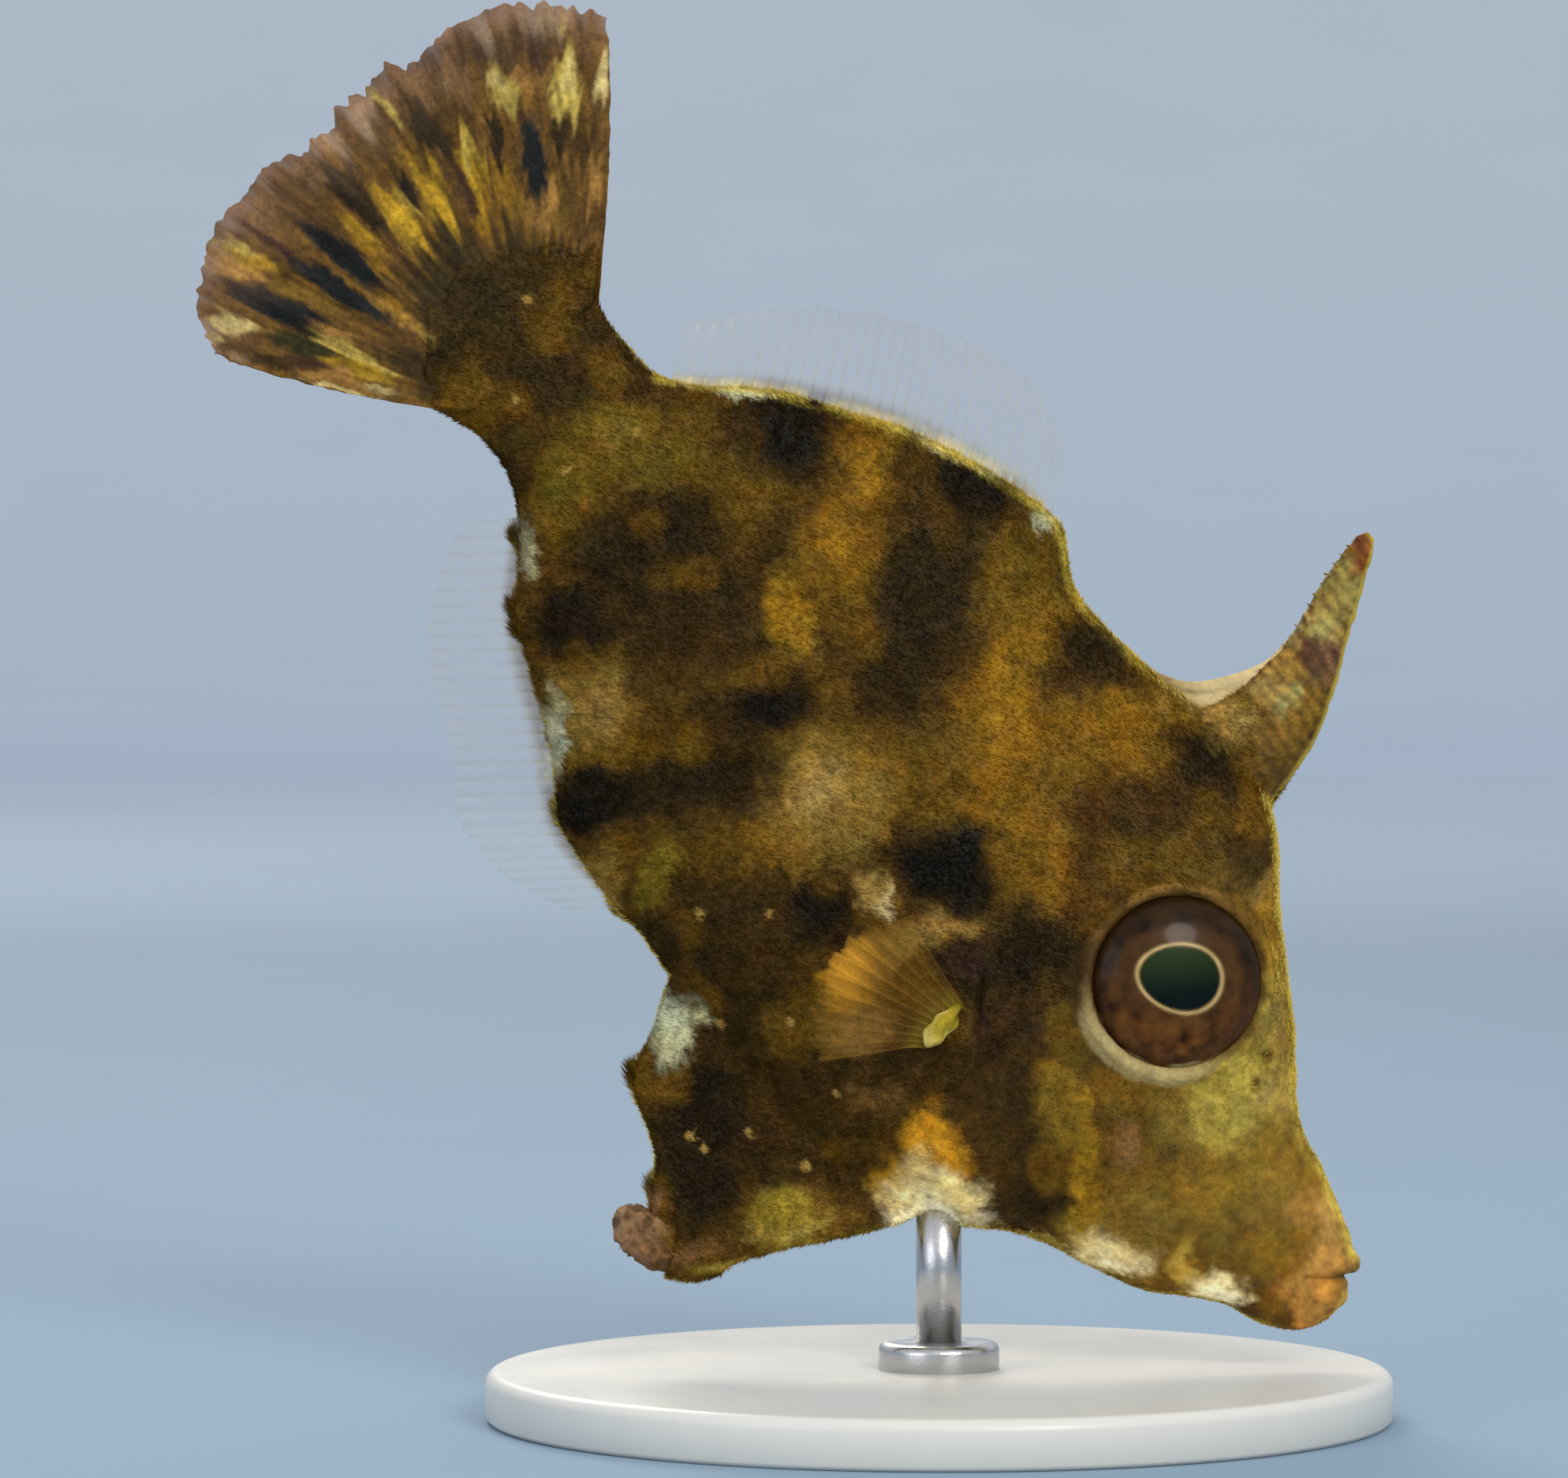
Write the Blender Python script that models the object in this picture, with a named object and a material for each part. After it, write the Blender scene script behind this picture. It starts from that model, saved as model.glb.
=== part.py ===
"""A bristle-tail filefish at life size, diving nose down on a plain display stand.

The fish is modelled along its own body axis: s is the distance behind the snout, h the height above the axis
and y the distance to its left, all in millimetres. An empty then tips it into the dive over the stand.
"""

import math

import bmesh
import bpy
from mathutils import Matrix, Vector

MM = 0.001

for old_object in list(bpy.data.objects):
    bpy.data.objects.remove(old_object)

# Driving sizes of the whole model, in millimetres and degrees
DIVE_ANGLE = 49.0
STALK_END = 50.2
GAP = 0.3
BASE_RADIUS = 18.0
BASE_THICKNESS = 2.0
CLEARANCE = 1.5
BASE_EDGE = 0.5
BASE_CHAMFER = 0.2
BOSS_RADIUS = 2.4
BOSS_HEIGHT = 0.8
ROD_RADIUS = 0.9
ROD_AT = 12.4
ROD_REACH = 2.0

# Lines of the body in side view, as (s, h): the back from chin to tail, the belly, and where it is widest
BACK_LINE = (
    (-0.75, -2.0), (-0.4, -1.1), (0.4, 0.0), (1.3, 0.7), (3.7, 1.45), (6.0, 2.1), (9.1, 4.4), (13.0, 7.0),
    (15.9, 9.2), (19.4, 10.0), (22.6, 9.5), (27.6, 9.2), (30.3, 10.4), (35.8, 8.8), (41.2, 5.6), (44.5, 2.6),
    (46.4, 2.1), (48.7, 2.4), (50.2, 3.1),
)
BELLY_LINE = (
    (-0.75, -2.4), (-0.5, -3.2), (-0.1, -3.7), (1.0, -4.5), (2.5, -5.1), (5.1, -7.2), (9.7, -9.2),
    (12.2, -11.2), (14.5, -12.6), (19.0, -13.4), (25.2, -13.3), (28.4, -12.9), (33.6, -12.6), (36.6, -10.8),
    (41.4, -8.3), (44.7, -5.5), (47.5, -4.7), (50.2, -5.5),
)
WIDEST_LINE = ((-0.75, -2.2), (1.2, -1.9), (6.0, -2.4), (13.0, -1.4), (20.0, -3.0), (36.0, -2.0), (50.2, -1.2))

# Half widths of the body as (s, y), and how its section narrows towards the back and belly: below 1 it is
# flat-sided and round on top, at 1 an ellipse, above 1 pinched to a keel
HALF_WIDTH = (
    (-0.75, 0.35), (-0.4, 0.85), (0.3, 1.15), (1.3, 1.35), (3.7, 1.85), (6.0, 2.25), (9.1, 2.95), (13.0, 3.6),
    (18.0, 4.1), (24.0, 4.0), (30.0, 3.4), (36.0, 2.6), (42.0, 1.75), (46.0, 1.3), (50.2, 0.8),
)
BACK_PINCH = ((1.0, 1.0), (7.0, 0.8), (12.0, 0.5), (15.5, 0.6), (21.0, 1.1), (28.0, 1.4))
BELLY_PINCH = ((1.0, 1.0), (8.0, 1.1), (16.0, 1.4))
KEEL = 0.5

# Mesh density
RING_POINTS = 32
RING_COUNT = 46
RING_CROWDING = 1.2

# Cuts between the pieces of flesh, each a line in side view through two (s, h) points
HEAD_CUT = ((24.6, 9.4), (17.6, -14.0))
STALK_CUT = ((44.9, 2.2), (45.5, -5.2))

# Lips, as rolls round the mouth: distances are ahead of and above the notch between them, along the mouth line
MOUTH_NOTCH = (0.5, -1.0)
MOUTH_SLOPE = 49.0
MOUTH_LENGTH = 1.7
MOUTH_GAP = 0.22
MOUTH_CORE = 0.85
UPPER_LIP = {"ahead": 0.6, "above": 0.5, "radius": 0.55}
LOWER_LIP = {"ahead": 0.0, "above": -0.72, "radius": 0.66}
LIP_LENGTH = 1.9
LIP_SPREAD = 1.12
LIP_TUCK = 0.2

# Eye, its raised rim, nostrils and gill slit
EYE_CENTRE = (13.4, 2.1)
EYE_RADIUS = 3.45
EYE_DEPTH = 1.45
EYE_SINK = 0.5
EYE_BACK = 1.35
RIM_RADIUS = 3.85
RIM_WIDTH = 0.38
RIM_RISE = 0.28
RIM_ROOT = 1.1
NOSTRILS = ((8.3, 1.7), (8.8, 2.8))
NOSTRIL_RADIUS = 0.42
NOSTRIL_DEPTH = 0.6
GILL_SLIT = {"at": (18.0, -4.5), "length": 3.6, "width": 0.4, "depth": 0.8, "slope": 49.0}

# First dorsal spine as level slices (h, middle s, half length, half width), and its barbs
SPINE_SLICES = (
    (9.0, 18.6, 2.5, 1.2), (10.8, 18.55, 2.05, 1.15), (12.7, 18.85, 1.75, 1.0), (14.2, 19.35, 1.4, 0.85),
    (15.9, 20.2, 1.1, 0.7), (17.7, 21.05, 0.8, 0.55), (18.9, 21.55, 0.5, 0.4), (19.4, 21.7, 0.22, 0.2),
)
SPINE_POINTS = 10
BARB_ROWS = 6
BARB_SPAN = (13.4, 18.8)
BARB_LENGTH = 0.6
BARB_RADIUS = 0.2
BARB_SINK = 0.35
BARB_SPLAY = 0.15
WEB_EDGE = ((19.9, 13.3), (20.9, 11.7), (21.8, 10.5), (23.2, 9.5))
WEB_THICKNESS = 0.5
WEB_ROOT = ((18.4, 8.6), (23.2, 8.6))

# Soft fins: number of rays, root and free edge
DORSAL_RAYS = 20
DORSAL_SPAN = (30.3, 44.3)
DORSAL_HEIGHT = ((0.0, 2.6), (0.12, 4.2), (0.35, 4.4), (0.7, 3.8), (1.0, 2.4))
ANAL_RAYS = 20
ANAL_SPAN = (29.9, 44.2)
ANAL_HEIGHT = ((0.0, 2.2), (0.15, 3.6), (0.4, 4.0), (0.75, 3.8), (1.0, 2.4))
FIN_LEAN = 42.0
FIN_ROOT = 0.8
FIN_THICKNESS = 0.5
RAY_RISE = 0.13
RAY_COLUMNS = 3
RAY_NOTCH = 0.05
ROOT_SHARE = 0.3
SOFT_ROOT_THICKNESS = 0.9
WAVE = 0.45
WAVES = 1.3
CAUDAL_RAYS = 12
CAUDAL_ROOT = ((49.5, 2.6), (49.9, -1.2), (49.5, -4.9))
CAUDAL_EDGE = ((57.3, 10.35), (60.1, 7.6), (61.3, 3.0), (61.6, -2.3), (60.9, -7.3), (57.9, -11.1))
CAUDAL_ROOT_THICKNESS = 1.5
CAUDAL_BULGE = 0.35
PECTORAL_RAYS = 11
PECTORAL_ROOT = ((18.5, -4.9), (18.3, -7.1))
PECTORAL_EDGE = ((22.7, -4.2), (23.7, -6.1), (23.3, -8.3), (22.1, -9.8), (20.6, -10.6))
PECTORAL_SINK = 0.6
PECTORAL_FLARE = 1.9
PECTORAL_CUP = 0.35
PECTORAL_LOBE = {"at": (18.4, -6.0), "radii": (0.8, 0.6, 1.2)}

# Ventral flap on the pelvis, and the knob of scales at its tip
FLAP_ROOT = ((13.0, -11.0), (25.2, -12.6))
FLAP_EDGE = (
    (13.3, -12.6), (15.6, -16.9), (17.5, -20.1), (19.6, -20.2), (20.6, -19.4), (21.8, -18.2), (24.3, -17.0),
    (24.9, -15.2), (25.3, -13.6),
)
FLAP_THICKNESS = 1.0
PELVIS_THICKNESS = 1.7
FLAP_ROOT_THICKNESS = 2.2
KNOB_LINE = ((17.3, -19.2), (18.4, -20.2), (19.6, -20.6), (20.7, -20.6), (21.1, -20.6))
KNOB_RADII = (0.7, 0.95, 0.95, 0.7, 0.25)
KNOB_SPINES = 16
KNOB_SPINE = {"sink": 0.35, "rise": 0.75, "lean": 0.35, "radius": 0.26}

COLOURS = {
    "skin": (0.16, 0.10, 0.03), "fin": (0.42, 0.36, 0.22), "tail": (0.33, 0.22, 0.07),
    "spine": (0.36, 0.28, 0.13), "knob": (0.30, 0.19, 0.10), "eye": (0.07, 0.04, 0.02),
    "base": (0.80, 0.79, 0.76), "steel": (0.62, 0.62, 0.63),
}
ROUGHNESS = {"skin": 0.8, "eye": 0.1, "steel": 0.3}


def smooth_curve(points, x):
    """Value at x of a smooth curve through (x, value) points, level past both ends."""
    if x <= points[0][0]:
        return points[0][1]
    if x >= points[-1][0]:
        return points[-1][1]
    i = max(k for k in range(len(points) - 1) if points[k][0] <= x)

    def slope(k):
        low, high = max(k - 1, 0), min(k + 1, len(points) - 1)
        return (points[high][1] - points[low][1]) / (points[high][0] - points[low][0])

    width = points[i + 1][0] - points[i][0]
    t = (x - points[i][0]) / width
    rise = (2 * t**3 - 3 * t**2 + 1) * points[i][1] + (3 * t**2 - 2 * t**3) * points[i + 1][1]
    return rise + width * ((t**3 - 2 * t**2 + t) * slope(i) + (t**3 - t**2) * slope(i + 1))


def along(points, u):
    """Point at share u of a smooth line through points of the same kind, spaced by their distances."""
    reach = [0.0]
    for a, b in zip(points, points[1:]):
        reach.append(reach[-1] + math.dist(a, b))
    where = u * reach[-1]
    return [smooth_curve([(r, p[axis]) for r, p in zip(reach, points)], where) for axis in range(len(points[0]))]


def place(s, y, h):
    """Point of the fish's own frame in metres: the snout points along +X, the back along +Z."""
    return Vector((-s, y, h)) * MM


def material(name):
    found = bpy.data.materials.get(name)
    if found:
        return found
    made = bpy.data.materials.new(name)
    made.use_nodes = True
    shader = made.node_tree.nodes["Principled BSDF"]
    shader.inputs["Base Color"].default_value = (*COLOURS[name], 1)
    shader.inputs["Roughness"].default_value = ROUGHNESS.get(name, 0.6)
    shader.inputs["Metallic"].default_value = 1.0 if name == "steel" else 0.0
    return made


def closed_mesh(name, bm):
    """Mesh of a closed surface, with its faces pointing outwards."""
    bmesh.ops.recalc_face_normals(bm, faces=bm.faces)
    if bm.calc_volume(signed=True) < 0:
        bmesh.ops.reverse_faces(bm, faces=bm.faces)
    mesh = bpy.data.meshes.new(name)
    bm.to_mesh(mesh)
    bm.free()
    return mesh


def new_object(name, bm, finish):
    """Turns a closed bmesh into a smooth-shaded object with one finish."""
    mesh = closed_mesh(name, bm)
    mesh.shade_smooth()
    mesh.set_sharp_from_angle(angle=math.radians(40))
    obj = bpy.data.objects.new(name, mesh)
    bpy.context.scene.collection.objects.link(obj)
    mesh.materials.append(material(finish))
    return obj


def loft(rings, caps=True):
    """Closed bmesh through rings of the same number of points."""
    bm = bmesh.new()
    made = [[bm.verts.new(p) for p in ring] for ring in rings]
    count = len(made[0])
    for a, b in zip(made, made[1:]):
        for i in range(count):
            j = (i + 1) % count
            bm.faces.new((a[i], a[j], b[j], b[i]))
    if caps:
        bm.faces.new(made[0])
        bm.faces.new(made[-1][::-1])
    return bm


def body_ring(s, grow):
    """One upright section of the body: widest at its middle line, narrowing to a keel above and below."""
    back = smooth_curve(BACK_LINE, s) + grow
    belly = smooth_curve(BELLY_LINE, s) - grow
    middle = smooth_curve(WIDEST_LINE, s)
    width = smooth_curve(HALF_WIDTH, s) + grow
    keel = min(KEEL + grow, width)
    ring = []
    for i in range(RING_POINTS):
        angle = math.tau * i / RING_POINTS
        up, side = math.sin(angle), math.cos(angle)
        reach = back - middle if up > 0 else middle - belly
        pinch = smooth_curve(BACK_PINCH if up > 0 else BELLY_PINCH, s)
        half = (width - keel) * abs(side) ** pinch + keel * abs(side) ** 0.6
        ring.append(place(s, math.copysign(half, side), middle + reach * up))
    return ring


def body_shape(grow=0.0):
    """The body from the chin to the end of the tail stalk, or the same grown outwards."""
    start = BACK_LINE[0][0]
    rings = []
    for k in range(RING_COUNT + 1):
        share = (k / RING_COUNT) ** RING_CROWDING
        rings.append(body_ring(start + (STALK_END - start) * share, grow))
    if grow:
        ahead, behind = Vector((grow * MM, 0, 0)), Vector((-grow * MM, 0, 0))
        rings[0] = [p + ahead for p in rings[0]]
        rings[-1] = [p + behind for p in rings[-1]]
    return loft(rings)


def cut_off(bm, line, keep_ahead):
    """Keeps what lies ahead of, or behind, an upright cut through a side-view line, half a gap short of it."""
    (s0, h0), (s1, h1) = line
    sideways = Vector((-(s1 - s0), 0, h1 - h0)).normalized()
    normal = sideways.cross(Vector((0, 1, 0)))
    if (normal.x > 0) == keep_ahead:
        normal = -normal
    point = place(s0, 0, h0) - normal * GAP / 2 * MM
    every = bm.verts[:] + bm.edges[:] + bm.faces[:]
    cut = bmesh.ops.bisect_plane(bm, geom=every, plane_co=point, plane_no=normal, clear_outer=True)
    edges = [e for e in cut["geom_cut"] if isinstance(e, bmesh.types.BMEdge)]
    bmesh.ops.edgeloop_fill(bm, edges=edges)
    return bm


def ellipsoid(centre, radii, segments=20, turn=None):
    bm = bmesh.new()
    bmesh.ops.create_uvsphere(bm, u_segments=segments, v_segments=segments // 2, radius=1.0)
    scale = Matrix.Diagonal((*[r * MM for r in radii], 1.0))
    bm.transform(Matrix.Translation(centre) @ (turn or Matrix.Identity(4)) @ scale)
    return bm


def cone(tip, base, radius, sides=6):
    """Closed cone from a sunk base to a fine tip."""
    axis = (tip - base).normalized()
    across = axis.orthogonal().normalized()
    other = axis.cross(across)
    bm = bmesh.new()
    foot = []
    for i in range(sides):
        turn = math.tau * i / sides
        foot.append(bm.verts.new(base + (across * math.cos(turn) + other * math.sin(turn)) * radius * MM))
    end = bm.verts.new(tip)
    bm.faces.new(foot[::-1])
    for i in range(sides):
        bm.faces.new((foot[i], foot[(i + 1) % sides], end))
    return bm


def box_between(start, end, thickness, width):
    """Slab whose middle line runs from start to end in the plane of symmetry."""
    along_line = end - start
    bm = bmesh.new()
    bmesh.ops.create_cube(bm, size=1.0)
    x = along_line.normalized()
    y = Vector((0, 1, 0))
    z = x.cross(y)
    turn = Matrix((x, y, z)).transposed().to_4x4()
    scale = Matrix.Diagonal((along_line.length, width * MM, thickness * MM, 1.0))
    bm.transform(Matrix.Translation((start + end) / 2) @ turn @ scale)
    return bm


def combine(obj, shapes, operation):
    """Joins shapes to an object, or cuts them from it, and keeps its largest closed surface."""
    group = bpy.data.collections.new("tools")
    bpy.context.scene.collection.children.link(group)
    for bm in shapes:
        group.objects.link(bpy.data.objects.new("tool", closed_mesh("tool", bm)))
    modifier = obj.modifiers.new("combine", "BOOLEAN")
    modifier.operand_type = "COLLECTION"
    modifier.collection = group
    modifier.operation = operation
    modifier.solver = "EXACT"
    graph = bpy.context.evaluated_depsgraph_get()
    done = bpy.data.meshes.new_from_object(obj.evaluated_get(graph))
    obj.modifiers.clear()
    obj.data = done
    for tool in list(group.objects):
        bpy.data.objects.remove(tool)
    bpy.data.collections.remove(group)
    keep_largest(obj)
    return obj


def keep_largest(obj):
    """Drops every loose scrap but the surface with the most faces."""
    bm = bmesh.new()
    bm.from_mesh(obj.data)
    bmesh.ops.remove_doubles(bm, verts=bm.verts, dist=0.002 * MM)
    bmesh.ops.dissolve_degenerate(bm, edges=bm.edges, dist=0.002 * MM)
    left, surfaces = set(bm.faces), []
    while left:
        reached, found = [left.pop()], set()
        while reached:
            face = reached.pop()
            found.add(face)
            for edge in face.edges:
                for other in edge.link_faces:
                    if other in left:
                        left.remove(other)
                        reached.append(other)
        surfaces.append(found)
    largest = max(surfaces, key=len)
    bmesh.ops.delete(bm, geom=[f for f in bm.faces if f not in largest], context="FACES")
    bm.to_mesh(obj.data)
    bm.free()
    obj.data.shade_smooth()
    obj.data.set_sharp_from_angle(angle=math.radians(40))


def mirrored(side, bm):
    """The same shape on the other flank where side is negative."""
    if side < 0:
        bm.transform(Matrix.Diagonal((1, -1, 1, 1)))
        bmesh.ops.reverse_faces(bm, faces=bm.faces)
    return bm


def thin_sheet(columns, rows, point, half_thickness):
    """Closed thin sheet over a grid, with its two faces split into triangles alike.

    point(u, v) gives the middle surface and half_thickness(u, v) the distance from it to either face."""
    bm = bmesh.new()
    step = 0.01

    def facing(u, v):
        across = point(min(u + step, 1), v) - point(max(u - step, 0), v)
        up = point(u, min(v + step, 1)) - point(u, max(v - step, 0))
        return across.cross(up).normalized()

    faces = []
    for sign in (1, -1):
        grid = []
        for c in range(columns + 1):
            u = c / columns
            line = []
            for r in range(rows + 1):
                v = r / rows
                line.append(bm.verts.new(point(u, v) + facing(u, v) * half_thickness(u, v) * sign * MM))
            grid.append(line)
        faces.append(grid)
    front, back = faces
    for c in range(columns):
        for r in range(rows):
            for grid, flip in ((front, False), (back, True)):
                a, b, d, e = grid[c][r], grid[c + 1][r], grid[c + 1][r + 1], grid[c][r + 1]
                for corners in ((a, b, d), (a, d, e)):
                    bm.faces.new(corners[::-1] if flip else corners)
    rim = [(c, 0) for c in range(columns)] + [(columns, r) for r in range(rows)]
    rim += [(c, rows) for c in range(columns, 0, -1)] + [(0, r) for r in range(rows, 0, -1)]
    for (c0, r0), (c1, r1) in zip(rim, rim[1:] + rim[:1]):
        bm.faces.new((front[c1][r1], front[c0][r0], back[c0][r0], back[c1][r1]))
    return bm


def ray_crest(u, rays):
    """1 on the line of a ray and 0 between two rays; the first and last rays are the fin's edges."""
    spacing = u * (rays - 1)
    return max(0.0, 1 - RAY_COLUMNS * abs(spacing - round(spacing)))


def rayed_fin(name, rays, rows, root, edge, finish, root_thickness, bend):
    """Fin between its root line and free edge, with rays raised as ridges and notches between their tips.

    bend(u, v) moves the middle of the sheet: it gives the fin its waves and the curve of its outer rays."""
    def point(u, v):
        reach = v * (1 - RAY_NOTCH * (1 - ray_crest(u, rays)))
        return root(u).lerp(edge(u), reach) + bend(u, v)

    def half(u, v):
        fade = max(0.0, 1 - v / ROOT_SHARE)
        body = FIN_THICKNESS * (1 - 0.25 * v) + (root_thickness - FIN_THICKNESS) * fade
        return body / 2 + RAY_RISE * ray_crest(u, rays) * min(1.0, v / ROOT_SHARE) * (1 - 0.4 * v)

    bm = thin_sheet((rays - 1) * RAY_COLUMNS, rows, point, half)
    return new_object(name, bm, finish)


def flank(s, h):
    """Distance of the skin from the plane of symmetry at a point of the side view."""
    ring = body_ring(s, 0.0)
    side = sorted((p for p in ring if p.y > 0), key=lambda p: p.z)
    heights = [(p.z / MM, p.y / MM) for p in side]
    return smooth_curve(heights, h)


def on_flank(s, h, reach):
    """Frame on the left flank: its origin on the skin, Y straight out, X ahead, fitted over a reach around."""
    slope_back = (flank(s + reach, h) - flank(s - reach, h)) / (2 * reach)
    slope_up = (flank(s, h + reach) - flank(s, h - reach)) / (2 * reach)
    out = Vector((slope_back, 1, -slope_up)).normalized()
    ahead = (Vector((1, 0, 0)) - out * out.x).normalized()
    turn = Matrix((ahead, out, ahead.cross(out))).transposed().to_4x4()
    return Matrix.Translation(place(s, flank(s, h), h)) @ turn


def eye_shape(grow=0.0):
    """Left eyeball: a flat dome set in the side of the head, with a flat back."""
    radius = EYE_RADIUS + grow
    bm = ellipsoid(Vector((0, -EYE_SINK * MM, 0)), (radius, EYE_DEPTH + grow, radius), 26)
    back = Vector((0, -(EYE_BACK + grow) * MM, 0))
    every = bm.verts[:] + bm.edges[:] + bm.faces[:]
    cut = bmesh.ops.bisect_plane(bm, geom=every, plane_co=back, plane_no=(0, -1, 0), clear_outer=True)
    edges = [e for e in cut["geom_cut"] if isinstance(e, bmesh.types.BMEdge)]
    bmesh.ops.edgeloop_fill(bm, edges=edges)
    bm.transform(on_flank(*EYE_CENTRE, EYE_RADIUS))
    return bm


def orbit_rim():
    """Low collar of skin round the left eye, rooted in the head."""
    around, section = 28, 8
    rings = []
    for i in range(around):
        turn = math.tau * i / around
        ring = []
        for k in range(section):
            angle = math.tau * k / section
            reach = RIM_RADIUS + RIM_WIDTH * math.cos(angle)
            height = (RIM_RISE + RIM_ROOT) / 2 * math.sin(angle) + (RIM_RISE - RIM_ROOT) / 2
            ring.append(Vector((reach * math.cos(turn), height, reach * math.sin(turn))) * MM)
        rings.append(ring)
    bm = loft(rings + rings[:1], caps=False)
    bmesh.ops.remove_doubles(bm, verts=bm.verts, dist=0.001 * MM)
    bm.transform(on_flank(*EYE_CENTRE, EYE_RADIUS))
    return bm


def nostril(s, h):
    """Cutter for a small round pit that narrows inwards."""
    skin = flank(s, h)
    return cone(place(s, skin - NOSTRIL_DEPTH, h), place(s, skin + NOSTRIL_DEPTH / 2, h), NOSTRIL_RADIUS, 8)


def gill_slit():
    """Cutter for the short slanting slit ahead of the pectoral fin, pointed at both ends."""
    s, h = GILL_SLIT["at"]
    radii = (GILL_SLIT["length"] / 2, GILL_SLIT["depth"], GILL_SLIT["width"] / 2)
    bm = ellipsoid(Vector(), radii, 16)
    slant = Matrix.Rotation(math.radians(GILL_SLIT["slope"]), 4, "Y")
    bm.transform(on_flank(s, h, 1.0) @ slant)
    return bm


def at_mouth(ahead, y, above):
    """Point ahead of and above the notch between the lips, measured along the mouth line."""
    s, h = MOUTH_NOTCH
    slope = math.radians(MOUTH_SLOPE)
    back, up = math.cos(slope), math.sin(slope)
    return place(s - ahead * back + above * up, y, h + ahead * up + above * back)


def lip_roll(lip):
    """Fleshy roll round the front of the mouth, thinner towards its corners."""
    steps, sides = 16, 10
    rings = []
    for k in range(steps + 1):
        turn = math.pi * (k / steps - 0.5)
        radius = lip["radius"] * (0.5 + 0.5 * math.cos(turn))
        ahead = lip["ahead"] - LIP_LENGTH * (1 - math.cos(turn))
        spread = LIP_SPREAD * (1 - LIP_TUCK * math.sin(turn) ** 6)
        ring = []
        for i in range(sides):
            angle = math.tau * i / sides
            outwards = radius * math.cos(angle)
            y = (spread + outwards) * math.sin(turn)
            reach = ahead + outwards * math.cos(turn)
            ring.append(at_mouth(reach, y, lip["above"] + radius * math.sin(angle)))
        rings.append(ring)
    return loft(rings)


def mouth_cutters():
    """Thin plates that part the lips: right across at their front, and along each side of the jaw."""
    start, notch, end = (at_mouth(ahead, 0, 0) for ahead in (2.5, 0, -MOUTH_LENGTH))
    cutters = [box_between(start, notch, MOUTH_GAP, 6.0)]
    for side in (-1, 1):
        plate = box_between(start, end, MOUTH_GAP, 2.0)
        plate.transform(Matrix.Translation((0, side * (MOUTH_CORE + 1.0) * MM, 0)))
        cutters.append(plate)
    return cutters


def make_head():
    head = new_object("head", cut_off(body_shape(), HEAD_CUT, True), "skin")
    lumps = [lip_roll(UPPER_LIP), lip_roll(LOWER_LIP)]
    lumps += [mirrored(side, orbit_rim()) for side in (-1, 1)]
    combine(head, lumps, "UNION")
    cuts = mouth_cutters()
    for side in (-1, 1):
        cuts.append(mirrored(side, eye_shape(GAP)))
        cuts += [mirrored(side, nostril(s, h)) for s, h in NOSTRILS]
        cuts.append(mirrored(side, gill_slit()))
    return combine(head, cuts, "DIFFERENCE")


def make_eye(name, side):
    return new_object(name, mirrored(side, eye_shape()), "eye")


def spine_shape(grow=0.0):
    """First dorsal spine, lofted through level slices and leaning back."""
    rings = []
    for h, middle, half_length, half_width in SPINE_SLICES:
        ring = []
        for i in range(SPINE_POINTS):
            angle = math.tau * i / SPINE_POINTS
            s = middle + (half_length + grow) * math.cos(angle)
            ring.append(place(s, (half_width + grow) * math.sin(angle), h))
        rings.append(ring)
    if grow:
        rings[-1] = [p + Vector((0, 0, grow * MM)) for p in rings[-1]]
    return loft(rings)


def make_spine():
    """First dorsal spine with two rows of short barbs that point down behind it."""
    spine = new_object("dorsal_spine", spine_shape(), "spine")
    middles = [(h, middle) for h, middle, _, _ in SPINE_SLICES]
    lengths = [(h, length) for h, _, length, _ in SPINE_SLICES]
    barbs = []
    for row in range(BARB_ROWS):
        h = BARB_SPAN[0] + (BARB_SPAN[1] - BARB_SPAN[0]) * row / (BARB_ROWS - 1)
        rear = smooth_curve(middles, h) + smooth_curve(lengths, h)
        for side in (-1, 1):
            foot = place(rear - BARB_SINK, side * BARB_SPLAY, h)
            tip = place(rear + BARB_LENGTH * 0.55, side * 2 * BARB_SPLAY, h - BARB_LENGTH * 0.75)
            barbs.append(cone(tip, foot, BARB_RADIUS))
    combine(spine, barbs, "UNION")
    return combine(spine, [body_shape(GAP)], "DIFFERENCE")


def make_spine_web():
    """Low web of skin that ties the spine to the back behind it."""
    def root(u):
        s, h = along(WEB_ROOT, u)
        return place(s, 0, h)

    def point(u, v):
        s, h = along(WEB_EDGE, u)
        return root(u).lerp(place(s, 0, h), v)

    web = new_object("spine_web", thin_sheet(10, 4, point, lambda u, v: WEB_THICKNESS / 2), "fin")
    return combine(web, [body_shape(GAP), spine_shape(GAP)], "DIFFERENCE")


def make_soft_dorsal():
    def root(u):
        s = DORSAL_SPAN[0] + (DORSAL_SPAN[1] - DORSAL_SPAN[0]) * u
        return place(s, 0, smooth_curve(BACK_LINE, s) - FIN_ROOT)

    def edge(u):
        s = DORSAL_SPAN[0] + (DORSAL_SPAN[1] - DORSAL_SPAN[0]) * u
        length = smooth_curve(DORSAL_HEIGHT, u)
        lean = math.radians(FIN_LEAN)
        return place(s + length * math.sin(lean), 0, smooth_curve(BACK_LINE, s) + length * math.cos(lean))

    def bend(u, v):
        return Vector((0, WAVE * v * v * math.sin(math.tau * WAVES * u), 0)) * MM

    fin = rayed_fin("soft_dorsal_fin", DORSAL_RAYS, 4, root, edge, "fin", SOFT_ROOT_THICKNESS, bend)
    return combine(fin, [body_shape(GAP)], "DIFFERENCE")


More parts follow.
